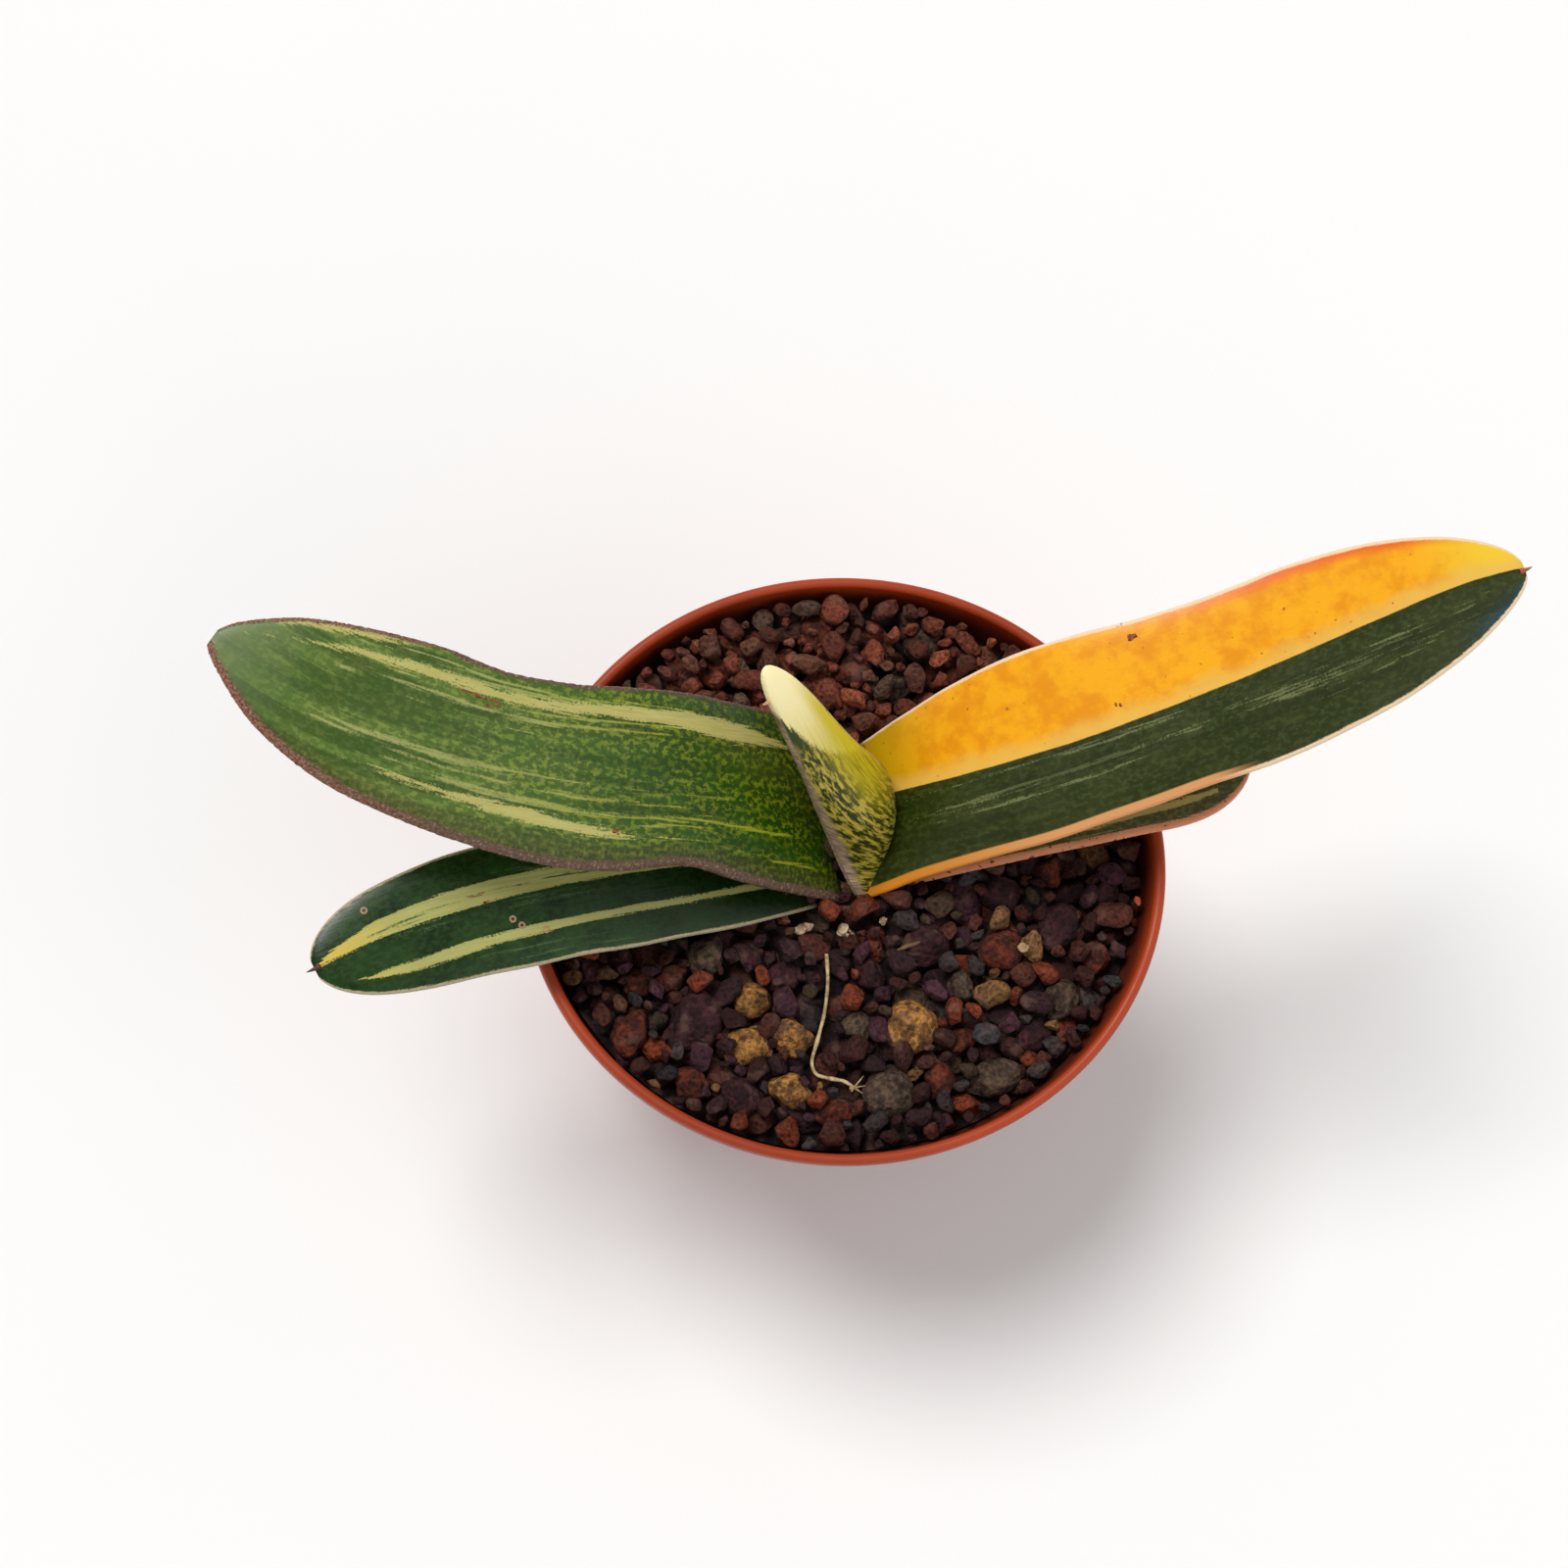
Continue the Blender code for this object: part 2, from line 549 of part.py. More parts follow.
def inside_wall(place, radius):
    """Pull a disc back inside the squeezed wall."""
    round_place = Vector((place.x / (1 + POT_SQUEEZE), place.y / (1 - POT_SQUEEZE)))
    limit = FILL_RADIUS - radius / (1 - POT_SQUEEZE)
    if round_place.length <= limit:
        return place
    round_place = round_place.normalized() * limit
    return Vector((round_place.x * (1 + POT_SQUEEZE), round_place.y * (1 - POT_SQUEEZE)))


def settled_places(radii, places, kept_clear):
    """Nudge discs until none is crowded by another, by a kept-clear disc or by the wall."""
    for _ in range(SETTLE_ROUNDS):
        for i, radius in enumerate(radii):
            for j, other_radius in enumerate(radii):
                if i != j:
                    places[i] = push_out(places[i], radius, places[j], other_radius)
            for obstacle, obstacle_radius in kept_clear:
                places[i] = push_out(places[i], radius, obstacle, obstacle_radius)
            places[i] = inside_wall(places[i], radius)
    return places


def clear_discs():
    """Discs over the stem, the leaf feet, the scraps and the strand, where no stone may lie."""
    discs = []
    for step in (-1, -0.5, 0, 0.5, 1):
        offset = Vector((0.0, step * (STEM_HALF_WIDE - STEM_HALF_THICK / 2)))
        discs.append((STEM_CENTRE + offset, STEM_HALF_THICK + LEAF_SEAT))
    for x, y, half_length, *_ in SCRAPS.values():
        discs.append((Vector((x * MM, y * MM)), half_length * MM))
    for start, end in zip(STRAND_ROUTE, STRAND_ROUTE[1:]):
        for share in (0.0, 0.5, 1.0):
            point = Vector(start).lerp(Vector(end), share) * MM
            discs.append((point, STRAND_RADIUS + GAP))
    return discs


def make_stones(parts):
    radii = [stone[3] * MM for stone in STONES]
    places = [Vector((stone[1], stone[2])) * MM for stone in STONES]
    places = settled_places(radii, places, clear_discs())
    finishes = {}
    for kind, tint in STONE_TINTS.items():
        finishes[kind] = material(kind + "_stone", tint, 0.9)
    for number, (stone, place) in enumerate(zip(STONES, places), start=1):
        kind, _, _, half_length, half_width, half_height, turn = stone
        name = f"{kind}_stone_{number:02d}"
        half_sizes = (half_length * MM, half_width * MM, half_height * MM)
        mesh = rough_pebble(name, half_sizes, STONE_SEED + number)
        part = add_part(name, mesh, finishes[kind], parts)
        part.location = (*place, FILL_TOP + GAP)
        part.rotation_euler.z = math.radians(turn)


def make_scraps(parts):
    finish = material("dry_leaf_base", (0.62, 0.50, 0.34), 0.8)
    for number, (name, row) in enumerate(SCRAPS.items()):
        x, y, half_length, half_width, half_height, turn = row
        half_sizes = (half_length * MM, half_width * MM, half_height * MM)
        part = add_part(name, rough_pebble(name, half_sizes, number), finish, parts)
        part.location = (x * MM, y * MM, FILL_TOP + SCRAP_LIFT)
        part.rotation_euler.z = math.radians(turn)


def main():
    clear_scene()
    parts = new_collection("potted_gasteria")
    cutters = new_collection("cutters")
    make_pot(parts, cutters)
    make_fill(parts, cutters)
    make_stem_and_roots(parts)
    make_leaves(parts)
    make_strand(parts)
    make_scraps(parts)
    make_stones(parts)


main()
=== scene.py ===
"""Looks of the potted gasteria: leaves, lava grit, nursery pot, dry bits, floor, light and camera.

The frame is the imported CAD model: origin at the centre of the pot's flat underside, +Z up, +X
along the leaf fan, +Y towards the back. Lengths are in metres; MM turns millimetres into metres.
"""

import math
import random

import bmesh
import bpy
import numpy as np
from mathutils import Matrix, Vector
from mathutils.bvhtree import BVHTree
from mathutils.noise import noise


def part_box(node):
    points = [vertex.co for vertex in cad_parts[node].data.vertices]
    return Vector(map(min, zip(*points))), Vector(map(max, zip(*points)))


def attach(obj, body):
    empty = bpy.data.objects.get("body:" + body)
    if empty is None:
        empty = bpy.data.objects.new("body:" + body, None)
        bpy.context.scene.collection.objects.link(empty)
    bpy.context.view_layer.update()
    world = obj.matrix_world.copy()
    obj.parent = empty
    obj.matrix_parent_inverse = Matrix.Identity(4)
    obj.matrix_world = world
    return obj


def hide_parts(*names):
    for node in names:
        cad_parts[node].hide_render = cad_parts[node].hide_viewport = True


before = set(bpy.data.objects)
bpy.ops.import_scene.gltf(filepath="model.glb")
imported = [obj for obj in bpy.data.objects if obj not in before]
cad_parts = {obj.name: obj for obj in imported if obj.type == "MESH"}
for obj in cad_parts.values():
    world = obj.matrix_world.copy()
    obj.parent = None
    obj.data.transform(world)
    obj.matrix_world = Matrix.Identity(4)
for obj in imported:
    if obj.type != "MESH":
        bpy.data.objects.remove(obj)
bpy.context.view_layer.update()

MM = 0.001

# --- camera ---
CAMERA_AIM = Vector((-8.7, 13.8, 80.0)) * MM
CAMERA_DISTANCE = 430 * MM
CAMERA_ELEVATION = 75             # degrees above the horizon
CAMERA_AZIMUTH = -28              # degrees from straight in front, towards the left
CAMERA_ROLL = 22                  # degrees
CAMERA_FIELD = 32.64              # degrees over the square frame

# --- leaves ---
LEAF_RINGS = 260                  # sections along a leaf
LEAF_SIDES = 112                  # points round a section
LEAF_LAST_RING = 0.997            # share of the length at which the tip is closed
LEAF_CLASP = 0.55                 # thickness at the clasped base over the greatest thickness
LEAF_SWELL_END = 0.35             # share of the length at which a leaf is thickest
LEAF_TIP_THINNING = 0.45          # share of the thickness lost towards the tip
LENS_FULLNESS = 0.72              # under 1 fills out a section towards its margins
WART_SIZE = 0.42                  # millimetres between warts on a margin
RIM_SWELL = 0.10 * MM             # how far a thick margin stands out of each face
MARGIN_WAVE = 0.12 * MM
MIDLINE_STEPS = 3                 # steps of the midline from one section to the next
HEEL_END = (0.15, 0.75)           # shares of the length between which a heel fades
FAR_OUTSIDE = -9.0                # distance, in millimetres, that stands for outside any streak

# The leaves are lofts of lens sections with the CAD leaves' values. rise, yaw and tilt are in
# degrees at the base, half way and the tip. near and far are half widths in millimetres at
# even steps from base to tip. rim holds the widths of the thick near and far margins and wart the
# height of their warts, in millimetres. belly is how far the upper face swells beyond a lens,
# heel how far the base stands to +X, and bluntness rounds the tip, less so the larger it is.
LEAVES = {
    "left_long_leaf": dict(
        side=-1, foot=(-3.0, 10.8), length=110.6, thick=4.2, cup=0.8, bluntness=6, far_bluntness=26,
        rise=(58, 22, 10), yaw=(-5, 10, 40), tilt=(0, 10, 10), rim=(1.35, 0.6), wart=0.16,
        near=(16.0, 15.0, 13.6, 11.4, 13.2, 13.8, 13.2, 12.5, 12.0, 10.3, 6.6),
        far=(14.2, 14.8, 15.0, 15.4, 14.9, 13.8, 13.4, 14.2, 13.2, 10.6, 6.4)),
    "left_low_leaf": dict(
        side=-1, foot=(-7.4, 3.4), length=82.2, thick=3.6, cup=0.6, bluntness=8,
        rise=(32, 13, 0), yaw=(-14, -7, -22), tilt=(0, 6, 6), rim=(0.5, 0.4), wart=0.03,
        near=(9.2, 9.4, 9.7, 9.8, 10.0, 10.0, 10.2, 10.2, 10.4, 10.3, 10.0),
        far=(9.0, 9.4, 9.7, 9.8, 10.0, 10.0, 10.0, 9.9, 9.6, 9.5, 9.2)),
    "right_long_leaf": dict(
        side=1, foot=(4.7, 10.3), length=114.6, thick=4.2, cup=0.8, bluntness=8,
        rise=(54, 19, 8), yaw=(-5, 12, 14), tilt=(0, 10, 10), rim=(0.75, 0.55), wart=0.02,
        near=(15.4, 13.8, 13.4, 13.4, 13.2, 13.2, 13.7, 13.3, 12.6, 11.0, 8.8),
        far=(10.4, 12.8, 15.0, 16.3, 16.0, 14.8, 14.4, 14.6, 14.2, 13.0, 11.2)),
    "right_short_leaf": dict(
        side=1, foot=(9.0, 6.0), length=60.1, thick=3.6, cup=0.6, bluntness=6,
        rise=(40, 17, 4), yaw=(4, 4, -3), tilt=(0, 6, 6), rim=(1.2, 0.9), wart=0.04,
        near=(9.5, 9.8, 10.0, 10.3, 10.5, 10.6, 10.8, 11.1, 11.6, 12.1, 12.2),
        far=(9.5, 9.8, 10.0, 10.2, 10.4, 10.5, 10.5, 10.5, 10.3, 10.0, 9.5)),
    "centre_leaf": dict(
        side=-1, foot=(1.3, 6.5), length=48.2, thick=5.0, cup=0.3, bluntness=4, heel=1.6,
        rise=(84, 58, 46), yaw=(0, 55, 42), tilt=(0, 0, 0), rim=(0.32, 0.15), wart=0.06,
        belly=(3.6, 4.8, 4.6, 3.6, 2.4, 1.5, 0.9, 0.6, 0.3, 0.1, 0.0),
        near=(12.0, 8.5, 6.2, 4.9, 4.1, 3.5, 3.2, 3.3, 3.8, 4.3, 4.5),
        far=(10.4, 10.4, 10.0, 9.4, 8.5, 7.5, 6.7, 6.0, 5.4, 4.9, 4.4)),
}
LEAF_BASE_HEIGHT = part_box("lava_fill")[1].z + 1.2 * MM   # the grit covers the cut bases

# Streaks that follow the veins. Each is a list of (share along, place across, half width):
# share 0 is the base and 1 the tip, place -1 the near margin and 1 the far one, and the half
# width is in the same units as place. An end with half width below zero fades out.
CREAM_STREAKS = {
    "left_long_leaf": (
        ((0.00, 0.56, -0.10), (0.10, 0.62, 0.02), (0.20, 0.66, 0.10), (0.30, 0.70, 0.09),
         (0.45, 0.74, 0.06), (0.60, 0.72, 0.05), (0.72, 0.72, 0.05), (0.84, 0.70, 0.03),
         (0.97, 0.6, -0.04)),
        ((0.24, -0.66, -0.08), (0.36, -0.61, 0.00), (0.44, -0.57, 0.05), (0.54, -0.51, 0.07),
         (0.62, -0.50, 0.05), (0.74, -0.52, 0.01), (0.90, -0.58, -0.08)),
        ((0.70, 0.95, -0.03), (0.80, 0.93, 0.045), (0.90, 0.92, 0.04), (0.95, 0.9, -0.02)),
    ),
    "left_low_leaf": (
        ((0.0, 0.22, 0.10), (0.35, 0.26, 0.12), (0.55, 0.28, 0.15), (0.72, 0.24, 0.18),
         (0.86, 0.20, 0.17), (0.96, 0.12, 0.12), (1.0, 0.05, 0.05)),
        ((0.0, -0.40, 0.05), (0.40, -0.42, 0.055), (0.62, -0.47, 0.07), (0.76, -0.54, 0.09),
         (0.86, -0.60, 0.07), (0.95, -0.64, -0.02)),
    ),
    "right_short_leaf": (
        ((0.0, -0.70, 0.05), (0.5, -0.72, 0.06), (0.9, -0.6, 0.05)),
        ((0.0, -0.40, 0.07), (0.6, -0.42, 0.08), (1.0, -0.3, 0.05)),
        ((0.0, 0.20, 0.12), (0.6, 0.24, 0.14), (1.0, 0.2, 0.08)),
    ),
}
# Dark gaps that split a cream streak, in the same terms.
GREEN_FLECKS = {
    "left_low_leaf": (
        ((0.30, 0.28, -0.01), (0.45, 0.29, 0.020), (0.60, 0.26, 0.016), (0.68, 0.25, -0.01)),
        ((0.70, 0.22, -0.01), (0.78, 0.20, 0.022), (0.88, 0.15, 0.016), (0.92, 0.13, -0.01)),
        ((0.76, 0.14, -0.01), (0.80, 0.13, 0.016), (0.84, 0.12, -0.01)),
    ),
}
# Fine pale lines: how many, over which places across, and where along they start and end.
PALE_LINES = {
    "left_long_leaf": ((10, 0.36, 0.66, 0.05, 0.95), (22, -0.48, -0.02, 0.02, 0.95),
                       (16, -0.80, -0.20, 0.0, 0.45), (5, 0.80, 0.95, 0.2, 0.95)),
    "left_low_leaf": ((6, 0.40, 0.72, 0.1, 0.85), (5, -0.34, 0.02, 0.3, 0.9),
                      (4, -0.85, -0.6, 0.2, 0.9)),
    "right_long_leaf": ((20, -0.46, -0.06, 0.0, 0.60), (22, -0.55, -0.14, 0.50, 0.97)),
    "right_short_leaf": ((9, -0.9, 0.8, 0.0, 1.0),),
}
# Where the amber half of the long right leaf, or the cream tip of the centre leaf, begins:
# (share along, place across) points of its edge.
AMBER_EDGE = ((0.0, 0.10), (0.15, 0.04), (0.35, 0.01), (0.60, 0.04), (0.80, 0.10), (0.92, 0.16),
              (1.0, 0.16))
CREAM_TIP_EDGE = ((-1.0, 0.84), (-0.5, 0.74), (0.0, 0.66), (0.5, 0.58), (1.0, 0.50))

# --- grit ---
GRIT_SEED = 11
GRIT_BANK = 2.0 * MM              # how much higher the grit lies against the wall at the back
GRAIN_SHAPES = 26                 # different grain forms that the grit is drawn from
# Layers of grit: height of the centres over the fill, largest and smallest radius in millimetres,
# tries, and least distance of two centres over the sum of their radii.
GRIT_LAYERS = ((0.2, (3.2, 2.2), 9000, 0.78), (2.3, (3.1, 2.0), 12000, 0.86),
               (4.2, (2.8, 1.5), 9000, 0.96), (3.6, (1.5, 0.9), 12000, 0.92))
GRIT_PRESS = 0.5 * MM             # how far grains reach past the fill's edge, to the pot's wall
GRIT_JITTER = 0.5                 # millimetres that a centre may lie off its layer's height
LEAF_TOUCH = 0.75                 # how near grains come to a leaf, over their radius


# --- small helpers ---

def tone(red, green, blue):
    """Linear colour of an 8 bit display colour."""
    shares = [value / 255 for value in (red, green, blue)]
    return tuple(s / 12.92 if s <= 0.04045 else ((s + 0.055) / 1.055) ** 2.4 for s in shares)


def smooth_share(value, low, high):
    """0 below low, 1 above high and smooth between."""
    share = min(max((value - low) / (high - low), 0.0), 1.0)
    return share * share * (3 - 2 * share)


def blend_three(values, share):
    """Smooth value that is values[0] at 0, values[1] half way and values[2] at 1."""
    first, middle, last = values
    return (first * (1 - share) * (1 - 2 * share) + 4 * middle * share * (1 - share)
            + last * share * (2 * share - 1))


def along_table(values, share):
    """Catmull-Rom curve through values spaced evenly from 0 to 1."""
    place = min(share, 0.99999) * (len(values) - 1)
    index = int(place)
    t = place - index
    p0, p1 = values[max(index - 1, 0)], values[index]
    p2, p3 = values[index + 1], values[min(index + 2, len(values) - 1)]
    return 0.5 * (2 * p1 + (p2 - p0) * t + (2 * p0 - 5 * p1 + 4 * p2 - p3) * t ** 2
                  + (3 * p1 - p0 - 3 * p2 + p3) * t ** 3)


def on_circle(radius, angle, height=0.0):
    """Point on a level circle round the origin."""
    return Vector((radius * math.cos(angle), radius * math.sin(angle), height))


def circle_angles(count):
    return [2 * math.pi * i / count for i in range(count)]


def random_vector(source, *ranges):
    """Vector with each part drawn between a low and a high value."""
    return Vector([source.uniform(low, high) for low, high in ranges])


def new_object(name, data):
    """Put an object in the scene."""
    made = bpy.data.objects.new(name, data)
    bpy.context.scene.collection.objects.link(made)
    return made


def new_mesh(name, points, faces):
    mesh = bpy.data.meshes.new(name)
    mesh.from_pydata(points, [], faces)
    return mesh


def mesh_of(shape, name):
    """Mesh of a bmesh, which is freed."""
    mesh = bpy.data.meshes.new(name)
    shape.to_mesh(mesh)
    shape.free()
    return mesh


def faces_out(mesh):
    """Turn a closed mesh's faces outwards."""
    shape = bmesh.new()
    shape.from_mesh(mesh)
    bmesh.ops.recalc_face_normals(shape, faces=shape.faces)
    shape.to_mesh(mesh)
    shape.free()
    return mesh


def loft_faces(rings, sides):
    """Quads between neighbouring rings, and a cap at each end."""
    faces = []
    for ring in range(rings - 1):
        for k in range(sides):
            first, second = ring * sides + k, ring * sides + (k + 1) % sides
            faces.append((first, second, second + sides, first + sides))
    faces.append(tuple(reversed(range(sides))))
    faces.append(tuple(range((rings - 1) * sides, rings * sides)))
    return faces


def new_piece(name, mesh, material, replaced=None):
    """A smooth piece that rides on the pot's body, perhaps in place of a CAD node."""
    mesh.shade_smooth()
    mesh.materials.clear()
    mesh.materials.append(material)
    piece = new_object(name, mesh)
    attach(piece, "root")
    if replaced:
        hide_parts(replaced)
    return piece


def store(mesh, name, values, kind="FLOAT"):
    """Write one value for each vertex as a named attribute."""
    key = {"FLOAT": "value", "FLOAT_VECTOR": "vector", "FLOAT_COLOR": "color"}[kind]
    attribute = mesh.attributes.new(name, kind, "POINT")
    attribute.data.foreach_set(key, np.array(values, dtype=np.float32).ravel())


class Value:
    """The output of a node, which can be used in sums, steps and mixes."""

    def __init__(self, paint, socket):
        self.paint, self.socket = paint, socket

    def __mul__(self, other):
        return self.paint.math("MULTIPLY", self, other)

    def __add__(self, other):
        return self.paint.math("ADD", self, other)

    def __sub__(self, other):
        return self.paint.math("SUBTRACT", self, other)

    def step(self, low, high):
        """0 where this is at low, 1 at high, smooth between. low may be the larger."""
        return self.paint.add("ShaderNodeMapRange", 0, {0: self, 1: low, 2: high},
                              interpolation_type="SMOOTHSTEP")

    def ramp(self, low, high, first, last):
        """first where this is at low, last at high and straight between."""
        inputs = {0: self, 1: low, 2: high, 3: first, 4: last}
        return self.paint.add("ShaderNodeMapRange", 0, inputs)

    def mix(self, first, second):
        """first where this is 0 and second where it is 1."""
        return self.paint.add("ShaderNodeMix", 2, {0: self, 6: first, 7: second}, data_type="RGBA")


class Paint:
    """One material's node graph. Each call adds a node and returns its output as a Value.

    A colour is three parts of an 8 bit display colour, or four linear ones.
    """

    def __init__(self, name, roughness, **settings):
        self.material = bpy.data.materials.new(name)
        self.material.use_nodes = True
        self.tree = self.material.node_tree
        self.shader = self.tree.nodes["Principled BSDF"]
        self.shader.inputs["Roughness"].default_value = roughness
        for socket, value in settings.items():
            self.shader.inputs[socket.replace("_", " ")].default_value = value

    def add(self, kind, output, inputs, **settings):
        node = self.tree.nodes.new(kind)
        for setting, value in settings.items():
            setattr(node, setting, value)
        for socket, value in inputs.items():
            self.put(value, node.inputs[socket])
        return Value(self, node.outputs[output])

    def put(self, value, socket):
        if isinstance(value, Value):
            self.tree.links.new(value.socket, socket)
        elif socket.type == "RGBA" and len(value) == 3:
            socket.default_value = (*tone(*value), 1.0)
        else:
            socket.default_value = value

    def place(self):
        return self.add("ShaderNodeTexCoord", "Object", {})

    def attribute(self, name, output="Fac"):
        return self.add("ShaderNodeAttribute", output, {}, attribute_name=name)

    def math(self, operation, first, second):
        return self.add("ShaderNodeMath", 0, {0: first, 1: second}, operation=operation)

    def noise(self, vector, scale, detail=2.0, roughness=0.5):
        """Noise with a scale, or with one for each direction."""
        if isinstance(scale, tuple):
            vector = self.add("ShaderNodeMapping", 0, {"Vector": vector, "Scale": scale})
            scale = 1.0
        inputs = {"Vector": vector, "Scale": scale, "Detail": detail, "Roughness": roughness}
        return self.add("ShaderNodeTexNoise", 0, inputs)

    def cells(self, vector, scale):
        return self.add("ShaderNodeTexVoronoi", 0, {"Vector": vector, "Scale": scale})

    def layers(self, colour, *coats):
        """Coats of (share, colour), each laid over what is under it."""
        for share, coat in coats:
            colour = share.mix(colour, coat)
        return colour

    def finish(self, colour, height=None, depth=0.1 * MM, roughness=None):
        """Join colour, a height map whose relief is depth metres, and roughness to the shader."""
        self.put(colour, self.shader.inputs["Base Color"])
        if roughness is not None:
            self.put(roughness, self.shader.inputs["Roughness"])
        if height is not None:
            bump = self.add("ShaderNodeBump", 0,
                            {"Height": height, "Distance": depth, "Strength": 1.0})
            self.put(bump, self.shader.inputs["Normal"])
        return self.material


# --- leaf forms ---

def leaf_axes(leaf, share):
    """Unit vectors at a share of the midline: along it, across to the far side, and face up."""
    turns = (blend_three(leaf[key], share) for key in ("rise", "yaw", "tilt"))
    rise, yaw, tilt = map(math.radians, turns)
    side = leaf["side"]
    along = Vector((side * math.cos(yaw) * math.cos(rise), math.sin(yaw) * math.cos(rise),
                    math.sin(rise)))
    level = Vector((-side * math.sin(yaw), math.cos(yaw), 0.0))
    upward = along.cross(level) * side
    across = level * math.cos(tilt) + upward * math.sin(tilt)
    return along, across, along.cross(across) * side


def leaf_half_thickness(leaf, share, tip_round):
    """Thin where it is clasped at the base, thickest a third of the way out, thin at the tip."""
    swelling = math.sin(min(share / LEAF_SWELL_END, 1.0) * math.pi / 2)
    thick = leaf["thick"] * MM * (LEAF_CLASP + (1 - LEAF_CLASP) * swelling)
    return thick * (1 - LEAF_TIP_THINNING * share ** 2) / 2 * math.tanh(2.2 * tip_round)


def streak_at(streak, share):
    """Place and half width of a streak at a share of the leaf, or None past its ends."""
    shares, places, halves = zip(*streak)
    if shares[0] <= share <= shares[-1]:
        return np.interp(share, shares, places), np.interp(share, shares, halves)
    return None


def inside_streaks(streaks, across, half_width):
    """How far, in millimetres, a point lies inside the nearest streak; negative outside."""
    return max([FAR_OUTSIDE] + [(half - abs(across - place)) * half_width
                                for place, half in streaks])


def fine_lines(name):
    """The pale lines of a leaf, drawn at random within its groups."""
    source = random.Random(name)
    lines = []
    for count, low, high, start, end in PALE_LINES.get(name, ()):
        for _ in range(count):
            place = source.uniform(low, high)
            length = (end - start) * source.uniform(0.3, 0.9)
            first = source.uniform(start, end - length)
            half = source.uniform(0.003, 0.012)
            bend = source.uniform(-0.03, 0.03)
            lines.append(((first, place, -0.01), (first + 0.3 * length, place + bend, half),
                          (first + 0.7 * length, place + bend, half * 0.8),
                          (first + length, place - bend, -0.01)))
    return lines


def leaf_rings(leaf):
    """Share, midline point and axes of each section of a leaf."""
    rings = []
    position = Vector((leaf["foot"][0] * MM, leaf["foot"][1] * MM, LEAF_BASE_HEIGHT))
    passed = 0.0
    for ring in range(LEAF_RINGS):
        share = LEAF_LAST_RING * math.sin(math.pi / 2 * ring / (LEAF_RINGS - 1))
        for step in range(MIDLINE_STEPS):
            middle = passed + (share - passed) * (step + 0.5) / MIDLINE_STEPS
            stride = leaf["length"] * MM * (share - passed) / MIDLINE_STEPS
            position = position + leaf_axes(leaf, middle)[0] * stride
        passed = share
        heel = leaf.get("heel", 0.0) * MM * (1 - smooth_share(share, *HEEL_END))
        rings.append((share, position + Vector((heel, 0, 0)), leaf_axes(leaf, share)))
    return rings


def leaf_surface(name, leaf):
    """Closed mesh of one leaf, with what its paint needs written to each vertex.

    along and across are shares; skin is (along, across, side) in millimetres; rim, cream, fleck,
    pale and warm are distances in millimetres inside the margin or a coloured stretch.
    """
    stretches = {"cream": CREAM_STREAKS.get(name, ()), "fleck": GREEN_FLECKS.get(name, ()),
                 "pale": fine_lines(name)}
    points = []
    data = {key: [] for key in ("along", "across", "rim", "warm", "skin", *stretches)}
    for share, centre, (_, across_axis, face_up) in leaf_rings(leaf):
        tip_round = math.sqrt(1 - share ** leaf["bluntness"])
        far_round = math.sqrt(1 - share ** leaf.get("far_bluntness", leaf["bluntness"]))
        widths = {1: along_table(leaf["far"], share) * far_round,
                  -1: along_table(leaf["near"], share) * tip_round}
        half_thick = leaf_half_thickness(leaf, share, tip_round)
        cup = leaf["cup"] * MM * (1 - share)
        belly = along_table(leaf["belly"], share) * MM if "belly" in leaf else 0.0
        crossed = {key: [found for streak in streaks if (found := streak_at(streak, share))]
                   for key, streaks in stretches.items()}
        length_mm = leaf["length"] * share
        for angle in circle_angles(LEAF_SIDES):
            reach = math.cos(angle)
            side = 1 if reach > 0 else -1
            face = 1 if math.sin(angle) >= 0 else -1
            width = widths[side]
            from_edge = width * (1 - abs(reach))
            rim = leaf["rim"][1 if reach > 0 else 0]
            lens = face * abs(math.sin(angle)) ** LENS_FULLNESS
            lift = half_thick * lens + cup * reach ** 2
            if face > 0:
                lift += belly * math.sin(angle) ** 1.5
            bead = math.exp(-((from_edge - rim / 2) / (rim * 0.45)) ** 2)
            lift += face * RIM_SWELL * bead * min(1.0, 3 * tip_round)
            rough = noise(Vector((length_mm / WART_SIZE, from_edge / WART_SIZE, 7.0 * side)))
            grow = leaf["wart"] * MM * rough * smooth_share(rim * 1.4 - from_edge, 0.0, 0.5)
            wave = MARGIN_WAVE * noise(Vector((length_mm / 9, reach * 2, 3.0 * side)))
            out = width * MM * reach + grow * side + wave * reach
            points.append(centre + across_axis * out + face_up * (lift + grow * face))
            data["along"].append(share)
            data["across"].append(reach)
            data["rim"].append(rim - from_edge)
            data["skin"].append((length_mm, width * reach, 20.0 * face))
            if name == "centre_leaf":
                warm = (share - np.interp(reach, *zip(*CREAM_TIP_EDGE))) * leaf["length"]
            else:
                warm = (reach - np.interp(share, *zip(*AMBER_EDGE))) * width
            data["warm"].append(warm)
            for key, streaks in crossed.items():
                shown = streaks if face > 0 or key != "pale" else ()
                data[key].append(inside_streaks(shown, reach, width))
    mesh = new_mesh(name + "_form", points, loft_faces(LEAF_RINGS, LEAF_SIDES))
    for key, values in data.items():
        store(mesh, key, values, "FLOAT_VECTOR" if key == "skin" else "FLOAT")
    return mesh


# --- leaf paint ---

